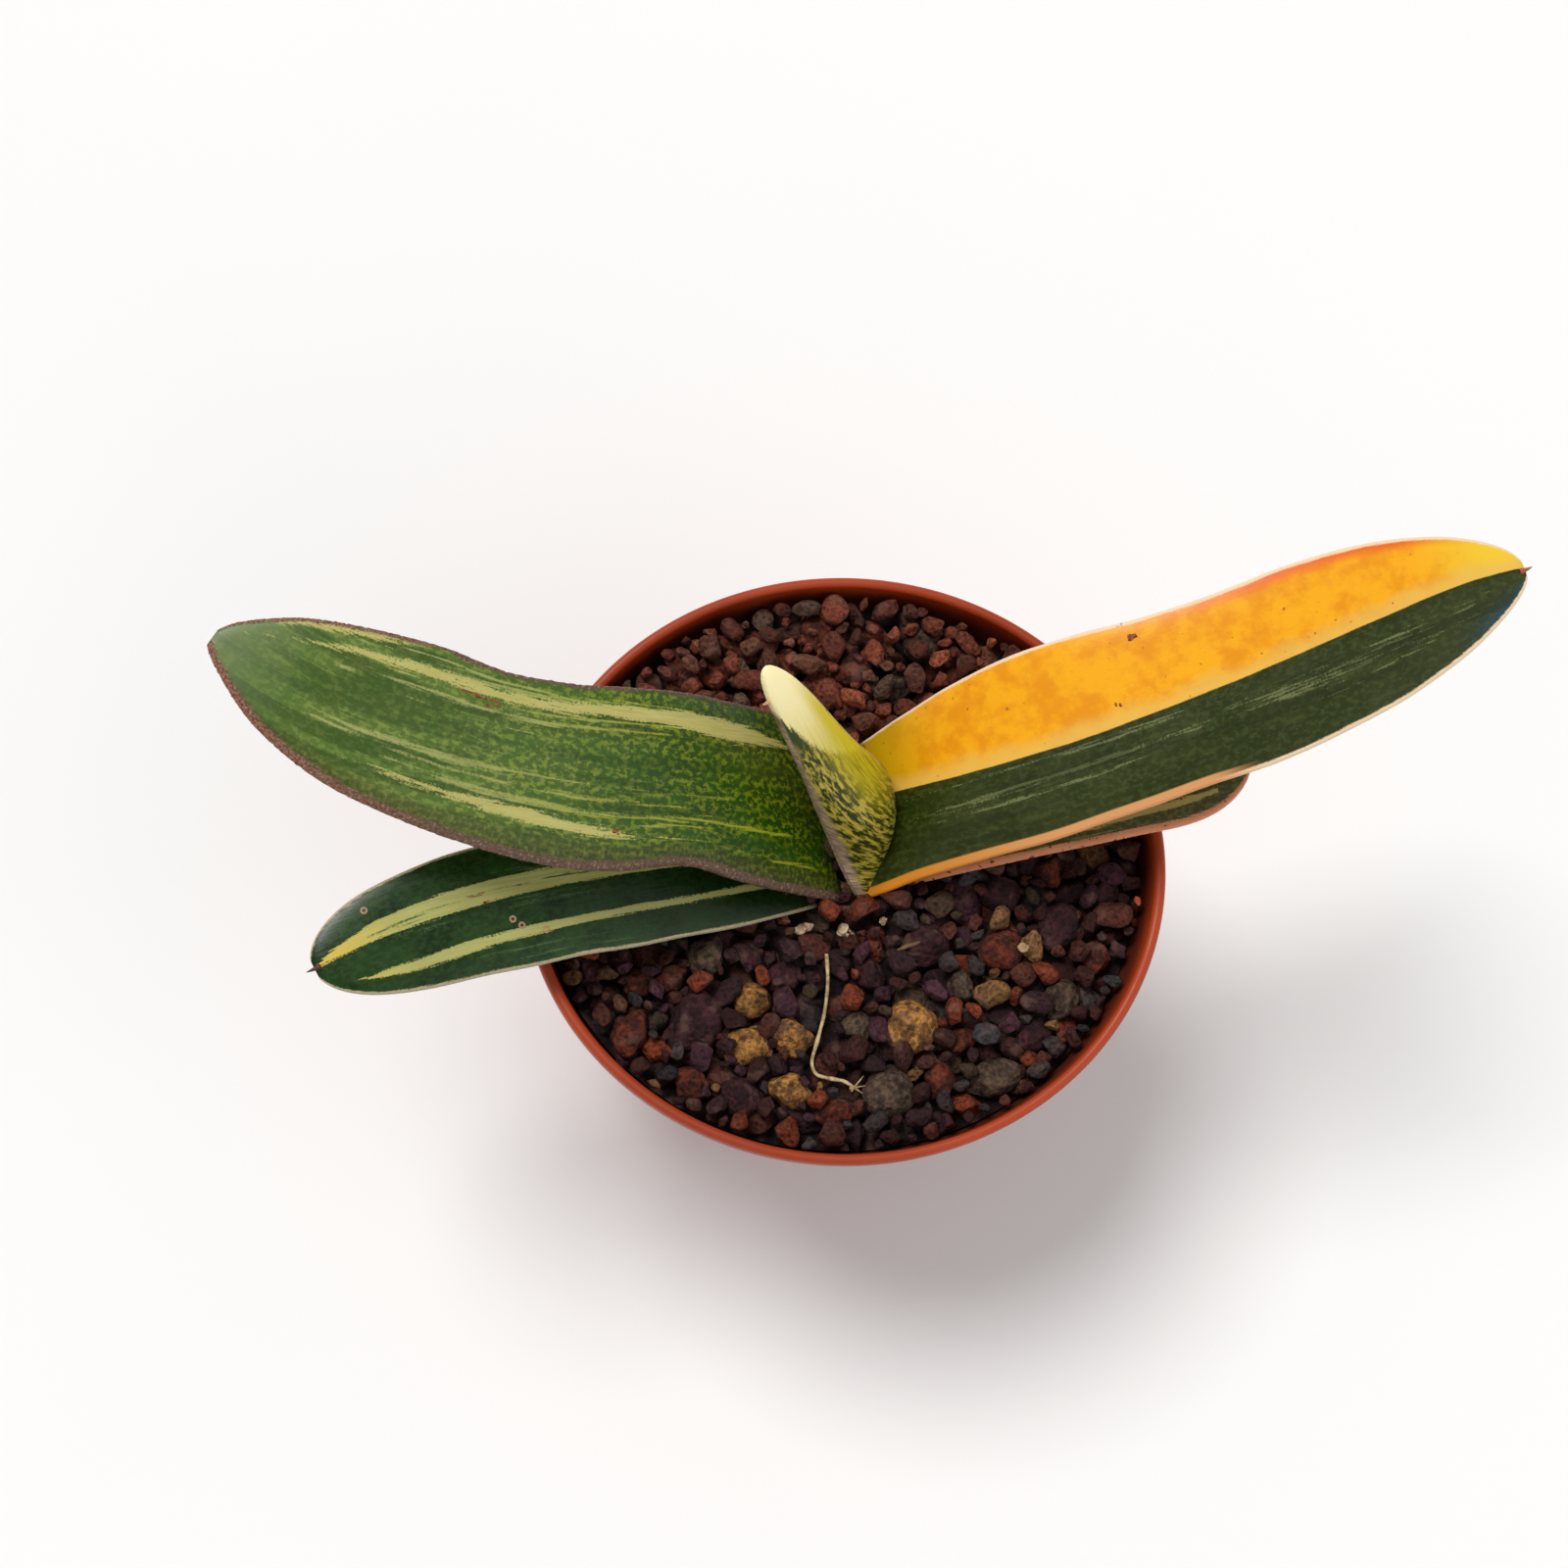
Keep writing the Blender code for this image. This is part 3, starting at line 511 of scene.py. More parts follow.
def leaf_paint(name):
    """A paint with the coordinates and textures that every leaf skin shares."""
    paint = Paint(name + "_skin", 0.4, Specular_IOR_Level=0.28)
    paint.along, paint.across = paint.attribute("along"), paint.attribute("across")
    paint.skin = paint.attribute("skin", "Vector")
    paint.fibre = paint.noise(paint.skin, (0.16, 2.6, 1.0), 3.0)
    paint.mottle = paint.noise(paint.skin, (0.85, 1.15, 1.0), 3.0, 0.62)
    paint.bands = paint.noise(paint.skin, (0.03, 0.42, 1.0), 3.0, 0.6)
    paint.cloud = paint.noise(paint.skin, 0.16)
    paint.speck = paint.noise(paint.skin, 2.6)
    return paint


def inside(paint, name, soft, ragged):
    """Mask of a stretch whose distance is stored on the mesh, with a fibrous ragged edge."""
    fray = (paint.fibre - 0.5) * (ragged * 2) + (paint.speck - 0.5) * ragged
    return (paint.attribute(name) + fray).step(-soft / 2, soft / 2)


def mottled(paint, dark, light, share):
    """Dark skin with lighter blotches; share is how strongly they show."""
    return (paint.mottle.step(0.46, 0.60) * share).mix(dark, light)


def rim_warts(paint, rim, share):
    """Height of the margin's warts, from 0 to 1."""
    return paint.cells(paint.skin, 1.5).step(0.5, 0.1) * rim * share


def finish_leaf(paint, colour, rim, wart_share, smoothest=0.30, roughest=0.46):
    pores = paint.noise(paint.skin, 6.0) * 0.12
    relief = rim_warts(paint, rim, wart_share) + pores + paint.fibre * 0.16
    gloss = paint.mottle.ramp(0.3, 0.7, smoothest, roughest)
    return paint.finish(colour, relief, 0.12 * MM, paint.math("MAXIMUM", gloss, rim * 0.6))


def left_long_skin(paint):
    outer = paint.along.step(0.15, 0.80)
    dark = outer.mix((26, 60, 2), (86, 108, 42))
    light = outer.mix((112, 126, 6), (130, 148, 70))
    ticks = paint.noise(paint.skin, (1.8, 1.1, 1.0))
    rim = inside(paint, "rim", 0.5, 0.9)
    rim_tone = paint.along.step(0.55, 0.95).mix((104, 80, 64), (150, 98, 76))
    colour = paint.layers(
        mottled(paint, dark, light, paint.along.ramp(0.55, 0.95, 0.85, 0.35)),
        (paint.cloud.step(0.42, 0.66) * 0.3, (44, 92, 16)),
        (paint.bands.step(0.54, 0.40) * 0.55, (30, 58, 6)),
        # painted sheen: the tip is paled towards grey-green, as by a soft glare on it
        (paint.along.step(0.84, 1.0) * 0.5, (116, 130, 92)),
        (inside(paint, "pale", 0.15, 0.25) * 0.75, outer.mix((160, 164, 36), (164, 166, 104))),
        (inside(paint, "cream", 0.5, 1.3) * 0.92,
         paint.fibre.mix((212, 200, 128), (152, 150, 72))),
        (paint.across.step(-0.62, -0.84) * 0.612,
         ticks.step(0.46, 0.70).mix((52, 48, 12), (104, 96, 52))),
        (rim, paint.speck.step(0.4, 0.62).mix(rim_tone, (84, 62, 50))),
        (rim_warts(paint, rim, 0.42), (170, 142, 118)))
    return finish_leaf(paint, colour, rim, 1.0)


def left_low_skin(paint):
    dark = paint.cloud.step(0.35, 0.65).mix((12, 38, 2), (28, 56, 16))
    streak = paint.fibre.mix((190, 184, 118), (140, 144, 70))
    streak = paint.along.step(0.8, 0.98).mix(streak, (204, 180, 78))
    rim = inside(paint, "rim", 0.3, 0.3)
    colour = paint.layers(
        mottled(paint, dark, (48, 78, 26), 0.35),
        # painted shadow: the base is darkened where the long left leaf above shades it
        (paint.along.step(0.55, 0.2) * 0.6, (12, 30, 2)),
        (inside(paint, "pale", 0.15, 0.3) * 0.4, (96, 122, 76)),
        (inside(paint, "cream", 0.25, 0.55), streak),
        (inside(paint, "fleck", 0.2, 0.4) * 0.9, (50, 84, 28)),
        (rim, paint.speck.mix((150, 136, 104), (186, 172, 140))))
    return finish_leaf(paint, colour, rim, 0.3, 0.24, 0.36)


def right_long_skin(paint):
    along, across = paint.along, paint.across
    dark = paint.cloud.step(0.35, 0.65).mix((36, 46, 2), (48, 54, 16))
    amber = paint.noise(paint.skin, 0.22, 4.0, 0.65).step(0.40, 0.64)
    amber = paint.layers(
        amber.mix((242, 168, 8), (228, 144, 2)),
        (across.step(0.80, 0.95) * along.step(0.45, 0.68) * 0.9, (226, 92, 6)),
        (along.step(0.18, 0.02), (184, 148, 8)),
        (along.step(0.84, 0.97), (236, 194, 44)),
        ((paint.attribute("warm") - paint.cloud * 3.0).step(1.9, -1.0) * 0.75, (226, 182, 84)),
        (paint.noise(paint.skin, 0.9, 1.0).step(0.72, 0.78) * 0.8, (150, 84, 20)))
    rim = inside(paint, "rim", 0.35, 0.25)
    wide = across.step(0.0, -0.5) * along.step(0.58, 0.50)
    peach = along.step(0.05, 0.35).mix((206, 128, 30), (214, 152, 96))
    colour = paint.layers(
        mottled(paint, dark, (70, 82, 36), 0.4),
        # painted reflection: a bluish sheen near the tip along the near margin
        (along.step(0.86, 0.99) * across.step(-0.35, -0.95), (18, 72, 92)),
        (inside(paint, "pale", 0.15, 0.45) * 0.45, (140, 146, 96)),
        (paint.bands.step(0.54, 0.38) * 0.5, (26, 34, 2)),
        (inside(paint, "warm", 0.22, 0.12), amber),
        (wide * paint.attribute("rim").step(-0.95, -0.60), peach),
        (rim, wide.mix((234, 206, 170), peach)))
    return finish_leaf(paint, colour, rim, 0.15, 0.30, 0.42)


def right_short_skin(paint):
    rim = inside(paint, "rim", 0.4, 0.5)
    spots = paint.noise(paint.skin, 1.1, 1.0).step(0.64, 0.70) * 0.85
    peach = paint.cloud.mix((226, 158, 118), (206, 122, 80))
    colour = paint.layers(
        mottled(paint, (62, 64, 22), (110, 102, 48), 0.6),
        (inside(paint, "pale", 0.2, 0.3) * 0.6, (150, 136, 78)),
        (inside(paint, "cream", 0.3, 0.6), (172, 150, 86)),
        (rim, spots.mix(peach, (96, 34, 20))))
    return finish_leaf(paint, colour, rim, 0.3)


def centre_skin(paint):
    along, across = paint.along, paint.across
    patches = paint.noise(paint.skin, (0.42, 1.5, 1.0), 3.0, 0.6)
    green = paint.layers(
        patches.step(0.44, 0.58).mix((44, 54, 2), (190, 172, 66)),
        (along.step(0.62, 0.72), (50, 66, 8)),
        (across.step(-0.1, 0.6) * along.step(0.15, 0.45) * 0.9, (196, 178, 24)),
        (paint.fibre.step(0.50, 0.62) * 0.4, (46, 56, 6)))
    cream = paint.layers(
        along.step(0.55, 0.92).mix((206, 188, 50), (254, 240, 184)),
        (paint.fibre.step(0.4, 0.7) * 0.3, (252, 240, 180)),
        (across.step(0.25, 0.80) * along.step(0.96, 0.74) * 0.9, (206, 188, 26)))
    rim = inside(paint, "rim", 0.6, 0.6) * along.step(0.92, 0.72)
    grey = paint.speck.step(0.4, 0.6).mix((188, 162, 134), (138, 114, 92))
    colour = paint.layers(green, (inside(paint, "warm", 2.0, 2.4), cream), (rim, grey))
    return finish_leaf(paint, colour, rim, 0.8)


LEAF_SKINS = {
    "left_long_leaf": left_long_skin,
    "left_low_leaf": left_low_skin,
    "right_long_leaf": right_long_skin,
    "right_short_leaf": right_short_skin,
    "centre_leaf": centre_skin,
}


def make_leaves():
    pieces = []
    for name, leaf in LEAVES.items():
        mesh = faces_out(leaf_surface(name, leaf))
        material = LEAF_SKINS[name](leaf_paint(name))
        pieces.append(new_piece(name + "_form", mesh, material, name))
    return pieces


# --- leaf details ---

# Hard points at leaf tips: leaf, share along, place across, degrees that it leans from the midline
# towards the far side, length and radius in millimetres, and colour.
LEAF_POINTS = (
    ("left_low_leaf", 0.995, 0.0, 0, 2.4, 0.45, (84, 28, 22)),
    ("right_long_leaf", 0.995, 0.0, 0, 1.9, 0.50, (176, 84, 60)),
    ("centre_leaf", 0.89, -1.0, -75, 1.9, 0.50, (214, 168, 128)),
)
POINT_SUNK = 0.35                 # share of a point's length that lies inside the leaf
# Ring scars: leaf, share along, place across, in the order they lie towards the tip.
RING_SCARS = (("left_low_leaf", 0.56, -0.50), ("left_low_leaf", 0.605, -0.36),
              ("left_low_leaf", 0.62, -0.24), ("left_low_leaf", 0.875, 0.66))
SCAR_RADIUS = 0.40 * MM
SCAR_THICKNESS = 0.17 * MM
# Dry marks: leaf, share along, place across, half length along, half width across, in millimetres.
DRY_MARKS = (
    ("left_long_leaf", 0.635, 0.66, 2.6, 0.28), ("left_long_leaf", 0.61, 0.60, 1.6, 0.22),
    ("left_long_leaf", 0.41, -0.56, 0.7, 0.4), ("right_long_leaf", 0.475, 0.82, 1.0, 0.5),
    ("right_long_leaf", 0.46, 0.98, 0.5, 0.2), ("right_long_leaf", 0.42, 0.22, 0.35, 0.35),
    ("left_low_leaf", 0.68, 0.24, 1.4, 0.16), ("left_low_leaf", 0.655, 0.10, 1.0, 0.14),
)
DRY_MARK_SEED = 5
CRUSTS_PER_MARK = 5


def leaf_place(name, share, reach):
    """Point on a leaf's upper face, with its axes there."""
    leaf = LEAVES[name]
    share = min(share, LEAF_LAST_RING)
    for ring_share, place, axes in leaf_rings(leaf):
        if ring_share >= share:
            break
    tip_round = math.sqrt(1 - share ** leaf["bluntness"])
    width = along_table(leaf["far" if reach > 0 else "near"], share) * tip_round * MM
    sine = math.sqrt(max(0.0, 1 - reach ** 2))
    lift = leaf_half_thickness(leaf, share, tip_round) * sine ** LENS_FULLNESS
    lift += leaf["cup"] * MM * (1 - share) * reach ** 2
    return place + axes[1] * width * reach + axes[2] * lift, axes


def point_mesh(start, along, length, radius):
    """Tapering thorn, slightly hooked upwards."""
    points, rings, sides = [], 9, 12
    turn = along.to_track_quat("Z", "Y").to_matrix()
    for ring in range(rings):
        share = ring / (rings - 1)
        thick = radius * (1 - share) ** 0.8 + 0.02 * MM
        hook = Vector((0, 0, 0.25 * length * share ** 2))
        centre = start + along * length * (share - POINT_SUNK) + hook
        points += [centre + turn @ on_circle(thick, angle) for angle in circle_angles(sides)]
    return faces_out(new_mesh("point", points, loft_faces(rings, sides)))


def make_leaf_points():
    for name, share, reach, lean, length, radius, colour in LEAF_POINTS:
        place, axes = leaf_place(name, share, reach)
        direction = axes[0] * math.cos(math.radians(lean)) + axes[1] * math.sin(math.radians(lean))
        paint = Paint(name + "_point", 0.5)
        grain = paint.noise(paint.place(), 1500)
        material = paint.finish((grain * 0.5).mix(colour, (60, 24, 18)), grain, 0.05 * MM)
        mesh = point_mesh(place, direction, length * MM, radius * MM)
        new_piece(name + "_point", mesh, material)


def ring_mesh(centre, normal):
    """Slightly flattened ring that lies on a face."""
    shape = bmesh.new()
    turn = normal.to_track_quat("Z", "Y").to_matrix()
    rows = []
    for turned in circle_angles(28):
        row = []
        for angle in circle_angles(10):
            reach = SCAR_RADIUS + SCAR_THICKNESS * math.cos(angle)
            local = on_circle(reach, turned, SCAR_THICKNESS * 0.7 * math.sin(angle))
            row.append(shape.verts.new(centre + turn @ local))
        rows.append(row)
    for row, after in zip(rows, rows[1:] + rows[:1]):
        for k, vert in enumerate(row):
            beside = (k + 1) % len(row)
            shape.faces.new((vert, after[k], after[beside], row[beside]))
    bmesh.ops.recalc_face_normals(shape, faces=shape.faces)
    return mesh_of(shape, "ring_scar")


def make_ring_scars():
    paint = Paint("ring_scar", 0.7)
    grain = paint.noise(paint.place(), 3000)
    material = paint.finish(grain.mix((196, 160, 132), (140, 96, 74)), grain, 0.05 * MM)
    for number, (name, share, reach) in enumerate(RING_SCARS, start=1):
        place, axes = leaf_place(name, share, reach)
        new_piece(f"ring_scar_{number}", ring_mesh(place, axes[2]), material)


def make_dry_marks():
    """Thin corky crusts where the skin was scratched or has dried."""
    paint = Paint("dry_mark", 0.85)
    grain = paint.noise(paint.place(), 2200, 3.0)
    colour = grain.step(0.35, 0.6).mix((74, 34, 16), (150, 86, 40))
    material = paint.finish(colour, grain, 0.1 * MM)
    source = random.Random(DRY_MARK_SEED)
    for number, (name, share, reach, half_length, half_width) in enumerate(DRY_MARKS, start=1):
        shape = bmesh.new()
        leaf = LEAVES[name]
        for _ in range(CRUSTS_PER_MARK):
            offset = random_vector(source, (-1, 1), (-1, 1))
            place, axes = leaf_place(name, share + offset.x * half_length / leaf["length"],
                                     reach + offset.y * half_width / leaf["far"][5])
            size = source.uniform(0.35, 0.6) * MM
            scale = (half_length * size, max(half_width, 0.16) * size, 0.05 * MM, 1)
            matrix = (Matrix.Translation(place) @ Matrix(axes).transposed().to_4x4()
                      @ Matrix.Diagonal(scale))
            grown = bmesh.ops.create_icosphere(shape, subdivisions=3, radius=1.0, matrix=matrix)
            for vert in grown["verts"]:
                vert.co += vert.normal * 0.06 * MM * noise(vert.co / (0.25 * MM))
        mark = mesh_of(shape, "dry_mark")
        new_piece(f"dry_mark_{number}", mark, material)


# --- grit and stones ---

GRIT_TINTS = (                    # colour and how often it comes in front of the plant
    ((84, 46, 36), 18), ((62, 34, 30), 22), ((54, 34, 36), 22), ((72, 42, 52), 10),
    ((64, 56, 54), 10), ((56, 54, 57), 3), ((122, 56, 34), 8), ((104, 70, 44), 4),
    ((72, 56, 40), 6), ((140, 100, 62), 1),
)
# The grit behind the plant is lighter and redder than the darker grit in front of it.
BACK_TINTS = (                   # the same behind the plant
    ((120, 62, 46), 20), ((138, 72, 50), 12), ((94, 50, 38), 14), ((106, 66, 50), 10),
    ((84, 50, 40), 8), ((98, 76, 60), 5), ((158, 84, 58), 4),
)
BACK_FROM = (6 * MM, 14 * MM)    # the back begins somewhere between these, for each grain
GRAINS_PER_PIECE = 150
GRAIN_SIZES = ((0.95, 1.30), (0.8, 1.05), (0.7, 1.0))   # least and greatest over the radius
GRIT_GRID = 6 * MM                # cell size of the grid in which neighbours are looked up
STONE_LUMPS = ((1.6, 0.24), (0.6, 0.14))    # size and height of a stone's lumps, in millimetres
STONE_GROWTH = {"pumice": 1.28, "red": 1.12, "purple": 1.14, "grey": 1.10}   # over the CAD stones
STONE_TINTS = {
    "pumice": ((188, 132, 68), (104, 72, 44)),
    "red": ((112, 52, 34), (66, 34, 26)),
    "purple": ((72, 40, 44), (46, 28, 28)),
    "grey": ((98, 80, 64), (60, 48, 40)),
}
STONE_SHARE = 0.6364              # radius that grit keeps off, over a stone's half diagonal


def rock_paint(name, tints=(), blotch=(), pore_scale=900, depth=0.5 * MM):
    """Porous rock of two tints, or of the mesh's own tint.

    blotch holds the scale, detail and roughness of the noise that parts the tints, and its steps.
    """
    paint = Paint(name, 0.9, Specular_IOR_Level=0.15)
    place = paint.place()
    pores = paint.cells(place, pore_scale).step(0.15, 0.5)
    grain = paint.noise(place, 1400, 5.0, 0.65)
    broad = paint.noise(place, 260, 3.0)
    if tints:
        base = paint.noise(place, *blotch[:3]).step(*blotch[3:]).mix(*tints)
    else:
        base = paint.attribute("tint", "Color")
    colour = paint.layers(
        base,
        (grain.step(0.60, 0.38) * 0.6, (30, 20, 20)),
        (pores.step(0.5, 0.0) * 0.5, (24, 16, 16)),
        (broad.step(0.54, 0.70) * 0.30, (132, 100, 88)))
    return paint.finish(colour, pores * 0.45 + (grain * 0.6 + broad), depth)


def rock_form(source, cuts):
    """Angular chunk of radius about 1: a ball cut by soft flats and roughened."""
    shape = bmesh.new()
    bmesh.ops.create_icosphere(shape, subdivisions=3, radius=1.0)
    flats = []
    for _ in range(cuts):
        flat = random_vector(source, (-1, 1), (-1, 1), (-1, 1)).normalized()
        flats.append((flat, source.uniform(0.50, 0.78)))
    shift = random_vector(source, (0, 90), (0, 90), (0, 90))
    for vert in shape.verts:
        for flat, reach in flats:
            over = vert.co.dot(flat) - reach
            if over > 0:
                vert.co -= flat * over * 0.95
        vert.co *= 1.12 + 0.12 * noise(vert.co * 1.6 + shift) + 0.08 * noise(vert.co * 4.5 + shift)
    points = np.array([vert.co for vert in shape.verts])
    faces = np.array([[vert.index for vert in face.verts] for face in shape.faces])
    shape.free()
    return points, faces


def joined_forms(name, forms):
    """One mesh of several forms, each given as points and faces."""
    starts = np.cumsum([0] + [len(points) for points, _ in forms])
    faces = [form_faces + start for (_, form_faces), start in zip(forms, starts)]
    points = np.vstack([points for points, _ in forms])
    return new_mesh(name, points.tolist(), np.vstack(faces).tolist())


def grit_places(leaf_tree, stones, low_path):
    """Centres and radii of the fine grains, laid down layer by layer."""
    low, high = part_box("lava_fill")
    reach_x, reach_y = (high.x - low.x) / 2, (high.y - low.y) / 2
    source = random.Random(GRIT_SEED)
    placed = []
    grid = {}

    def cell(centre):
        return int(centre.x // GRIT_GRID), int(centre.y // GRIT_GRID)

    def touches(centre, radius, packing):
        column, row = cell(centre)
        return any((centre - other).length < (radius + size) * packing
                   for i in (-1, 0, 1) for j in (-1, 0, 1)
                   for other, size in grid.get((column + i, row + j), ()))

    for centre, radius in stones:
        grid.setdefault(cell(centre), []).append((centre, radius))
    for height, (largest, smallest), tries, packing in GRIT_LAYERS:
        for trial in range(tries):
            wanted = largest + (smallest - largest) * (trial / tries) ** 0.6
            radius = wanted * source.uniform(0.85, 1.1) * MM
            angle = source.uniform(0, 2 * math.pi)
            out = math.sqrt(source.random())
            x = out * math.cos(angle) * (reach_x + GRIT_PRESS - radius)
            y = out * math.sin(angle) * (reach_y + GRIT_PRESS - radius)
            bank = GRIT_BANK * smooth_share(out + 0.6 * math.sin(angle), 0.6, 1.5)
            z = high.z + height * MM + bank + source.uniform(-GRIT_JITTER, GRIT_JITTER) * MM
            centre = Vector((x, y, z))
            if touches(centre, radius, packing):
                continue
            if height > 1 and any((centre.xy - point).length < radius + gap
                                  for point, gap in low_path):
                continue
            if leaf_tree.find_nearest(centre)[3] < radius * LEAF_TOUCH:
                continue
            placed.append((centre, radius))
            grid.setdefault(cell(centre), []).append((centre, radius))
    return placed


def make_grit(leaf_tree, stones, low_path):
    """The fine lava between the stones, as a few pieces of many grains each."""
    source = random.Random(GRIT_SEED + 1)
    shapes = [rock_form(source, 12) for _ in range(GRAIN_SHAPES)]
    front, back = ([np.array(tone(*tint)) for tint, weight in tints for _ in range(weight)]
                   for tints in (GRIT_TINTS, BACK_TINTS))
    grains = grit_places(leaf_tree, stones, low_path)
    material = rock_paint("lava_grain")
    for start in range(0, len(grains), GRAINS_PER_PIECE):
        forms, colours = [], []
        for centre, radius in grains[start:start + GRAINS_PER_PIECE]:
            points, faces = shapes[source.randrange(GRAIN_SHAPES)]
            angle = source.uniform(0, 6.3)
            turn = Matrix.Rotation(angle, 3, random_vector(source, (-1, 1), (-1, 1), (0.1, 1)))
            scale = np.diag([radius * source.uniform(*sizes) for sizes in GRAIN_SIZES])
            forms.append((points @ scale @ np.array(turn).T + np.array(centre), faces))
            tint = source.choice(back if centre.y > source.uniform(*BACK_FROM) else front)
            tint = tint * source.uniform(0.7, 1.3)
            colours.append(np.tile((*tint, 1.0), (len(points), 1)))
        mesh = joined_forms("grit", forms)
        store(mesh, "tint", np.vstack(colours), "FLOAT_COLOR")
        number = start // GRAINS_PER_PIECE + 1
        new_piece(f"lava_grains_{number}", mesh, material)


def make_stones():
    """Fine forms of the CAD stones: each solid rounded, subdivided and roughened.

    Returns the centre of each, with the radius that the grit keeps clear of.
    """
    blotch = (420, 3.0, 0.6, 0.40, 0.62)
    materials = {kind: rock_paint(kind + "_rock", tints, blotch, 700, 0.6 * MM)
                 for kind, tints in STONE_TINTS.items()}
    discs = []
    for name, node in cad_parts.items():
        kind = name.split("_")[0]
        if "_stone_" not in name:
            continue
        shape = bmesh.new()
        shape.from_mesh(node.data)
        bmesh.ops.remove_doubles(shape, verts=shape.verts, dist=0.001 * MM)
        bmesh.ops.subdivide_edges(shape, edges=shape.edges, cuts=3, use_grid_fill=True, smooth=0.35)
        low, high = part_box(name)
        middle = (low + high) / 2
        for vert in shape.verts:
            rough = sum(noise(vert.co / (size * MM)) * height for size, height in STONE_LUMPS)
            grown = middle + (vert.co - middle) * STONE_GROWTH[kind]
            vert.co = grown + vert.normal * rough * MM
        mesh = mesh_of(shape, name + "_form")
        new_piece(name + "_form", mesh, materials[kind], name)
        discs.append((middle, (high.xy - low.xy).length / 2 * STONE_SHARE))
    return discs


# --- dry bits ---

STRAND_ROUTE = ((-4.4, -13.4), (-4.8, -18.2), (-5.9, -22.9), (-7.6, -27.3), (-8.8, -30.4),
                (-8.4, -32.4), (-6.6, -33.2), (-4.2, -34.0), (-2.6, -35.2))
STRAND_RADIUS = 0.4 * MM
STRAND_STEPS = 90
STRAND_CLEARANCE = 0.9 * MM       # gap that the grit leaves beside the strand
HAIR_TIPS = ((1.6, 1.6, 0.9), (2.4, 0.1, 0.4), (1.8, -1.5, -0.2))   # from the strand's light end
HAIR_STEPS = 9
SCRAP_NAMES = ("dry_scrap_left", "dry_scrap_middle", "dry_scrap_right")
SCRAP_CLEARANCE = 0.42            # radius that the grit keeps off a scrap, over the scrap's length
# Small bits that lie on the grit: name, place, half sizes and turn, in millimetres and degrees.
BITS = (
    ("straw_bit", (8.6, -13.9, 77.2), (2.3, 0.32, 0.25), 12, (122, 92, 58)),
    ("tan_chip", (26.8, -16.3, 78.6), (1.0, 0.75, 0.45), -20, (196, 160, 118)),
    ("orange_chip", (46.6, -10.3, 77.6), (0.5, 0.9, 0.4), 0, (196, 84, 36)),
)
BIT_SEED = 21


def tube_mesh(points, radii, sides=12):
    """Closed tube through points, with a radius at each."""
    rows = []
    for index, (point, radius) in enumerate(zip(points, radii)):
        ahead = points[min(index + 1, len(points) - 1)] - points[max(index - 1, 0)]
        turn = ahead.to_track_quat("Z", "Y").to_matrix()
        rows += [point + turn @ on_circle(radius, angle) for angle in circle_angles(sides)]
    return faces_out(new_mesh("tube", rows, loft_faces(len(points), sides)))


def dry_material(name, light, dark):
    paint = Paint(name, 0.75)
    grain = paint.noise(paint.place(), 900, 4.0, 0.6)
    return paint.finish(grain.step(0.35, 0.65).mix(light, dark), grain, 0.15 * MM)


def make_strand(material):
    """The dry root strand, with frayed hairs at its light end."""
    low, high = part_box("dry_root_strand")
    points, radii = [], []
    for step in range(STRAND_STEPS + 1):
        share = step / STRAND_STEPS
        x, y = (along_table(values, share) * MM for values in zip(*STRAND_ROUTE))
        wander = noise(Vector((share * 6, 0, 3))) * 0.5 * MM
        points.append(Vector((x, y, (low.z + high.z) / 2 + wander)))
        radii.append(STRAND_RADIUS * (0.75 + 0.25 * noise(Vector((share * 12, 5, 0)))))
    tube = tube_mesh(points, radii)
    new_piece("dry_root_strand_form", tube, material, "dry_root_strand")
    for number, tip in enumerate(HAIR_TIPS, start=1):
        tip = Vector(tip) * MM
        route = [points[-1] - tip * 0.3 + tip * 1.3 * (i / (HAIR_STEPS - 1))
                 for i in range(HAIR_STEPS)]
        radii = [STRAND_RADIUS * 0.5 * (1 - i / HAIR_STEPS) + 0.03 * MM for i in range(HAIR_STEPS)]
        new_piece(f"strand_hair_{number}", tube_mesh(route, radii, 8), material)


def make_bits():
    """A straw and two chips that were left on the grit."""
    source = random.Random(BIT_SEED)
    for name, place, half, turn, colour in BITS:
        form, faces = rock_form(source, 6)
        turned = np.array(Matrix.Rotation(math.radians(turn), 3, "Z")).T
        bent = form * np.array(half) * MM @ turned + np.array(place) * MM
        dark = (*(value * 0.5 for value in tone(*colour)), 1.0)
        material = dry_material(name + "_paint", colour, dark)
        new_piece(name, joined_forms(name, [(bent, faces)]), material)


def make_scraps(material):
    """Curled papery scraps in place of the CAD ones."""
    for name in SCRAP_NAMES:
        low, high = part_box(name)
        centre, half = (low + high) / 2, (high - low) / 2
        source = random.Random(name)
        forms = []
        for _ in range(4):
            form, faces = rock_form(source, 6)
            spread = np.array([source.uniform(-0.45, 0.45) * size for size in half])
            bent = form * np.array([source.uniform(0.35, 0.6) * size for size in half])
            bent[:, 2] += (form[:, 0] ** 2) * half.z * 0.35
            forms.append((bent + spread + np.array(centre), faces))
        mesh = joined_forms(name + "_form", forms)
        new_piece(name + "_form", mesh, material, name)


def paths_to_clear():
    """Level points and radii that the upper grit leaves free: the strand and the scraps."""
    route = [Vector(point) * MM for point in STRAND_ROUTE]
    route += [(a + b) / 2 for a, b in zip(route, route[1:])]
    cleared = [(point, STRAND_CLEARANCE) for point in route]
    for name in SCRAP_NAMES:
        low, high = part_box(name)
        cleared.append((((low + high) / 2).xy, (high.x - low.x) * SCRAP_CLEARANCE))
    return cleared


# --- pot ---

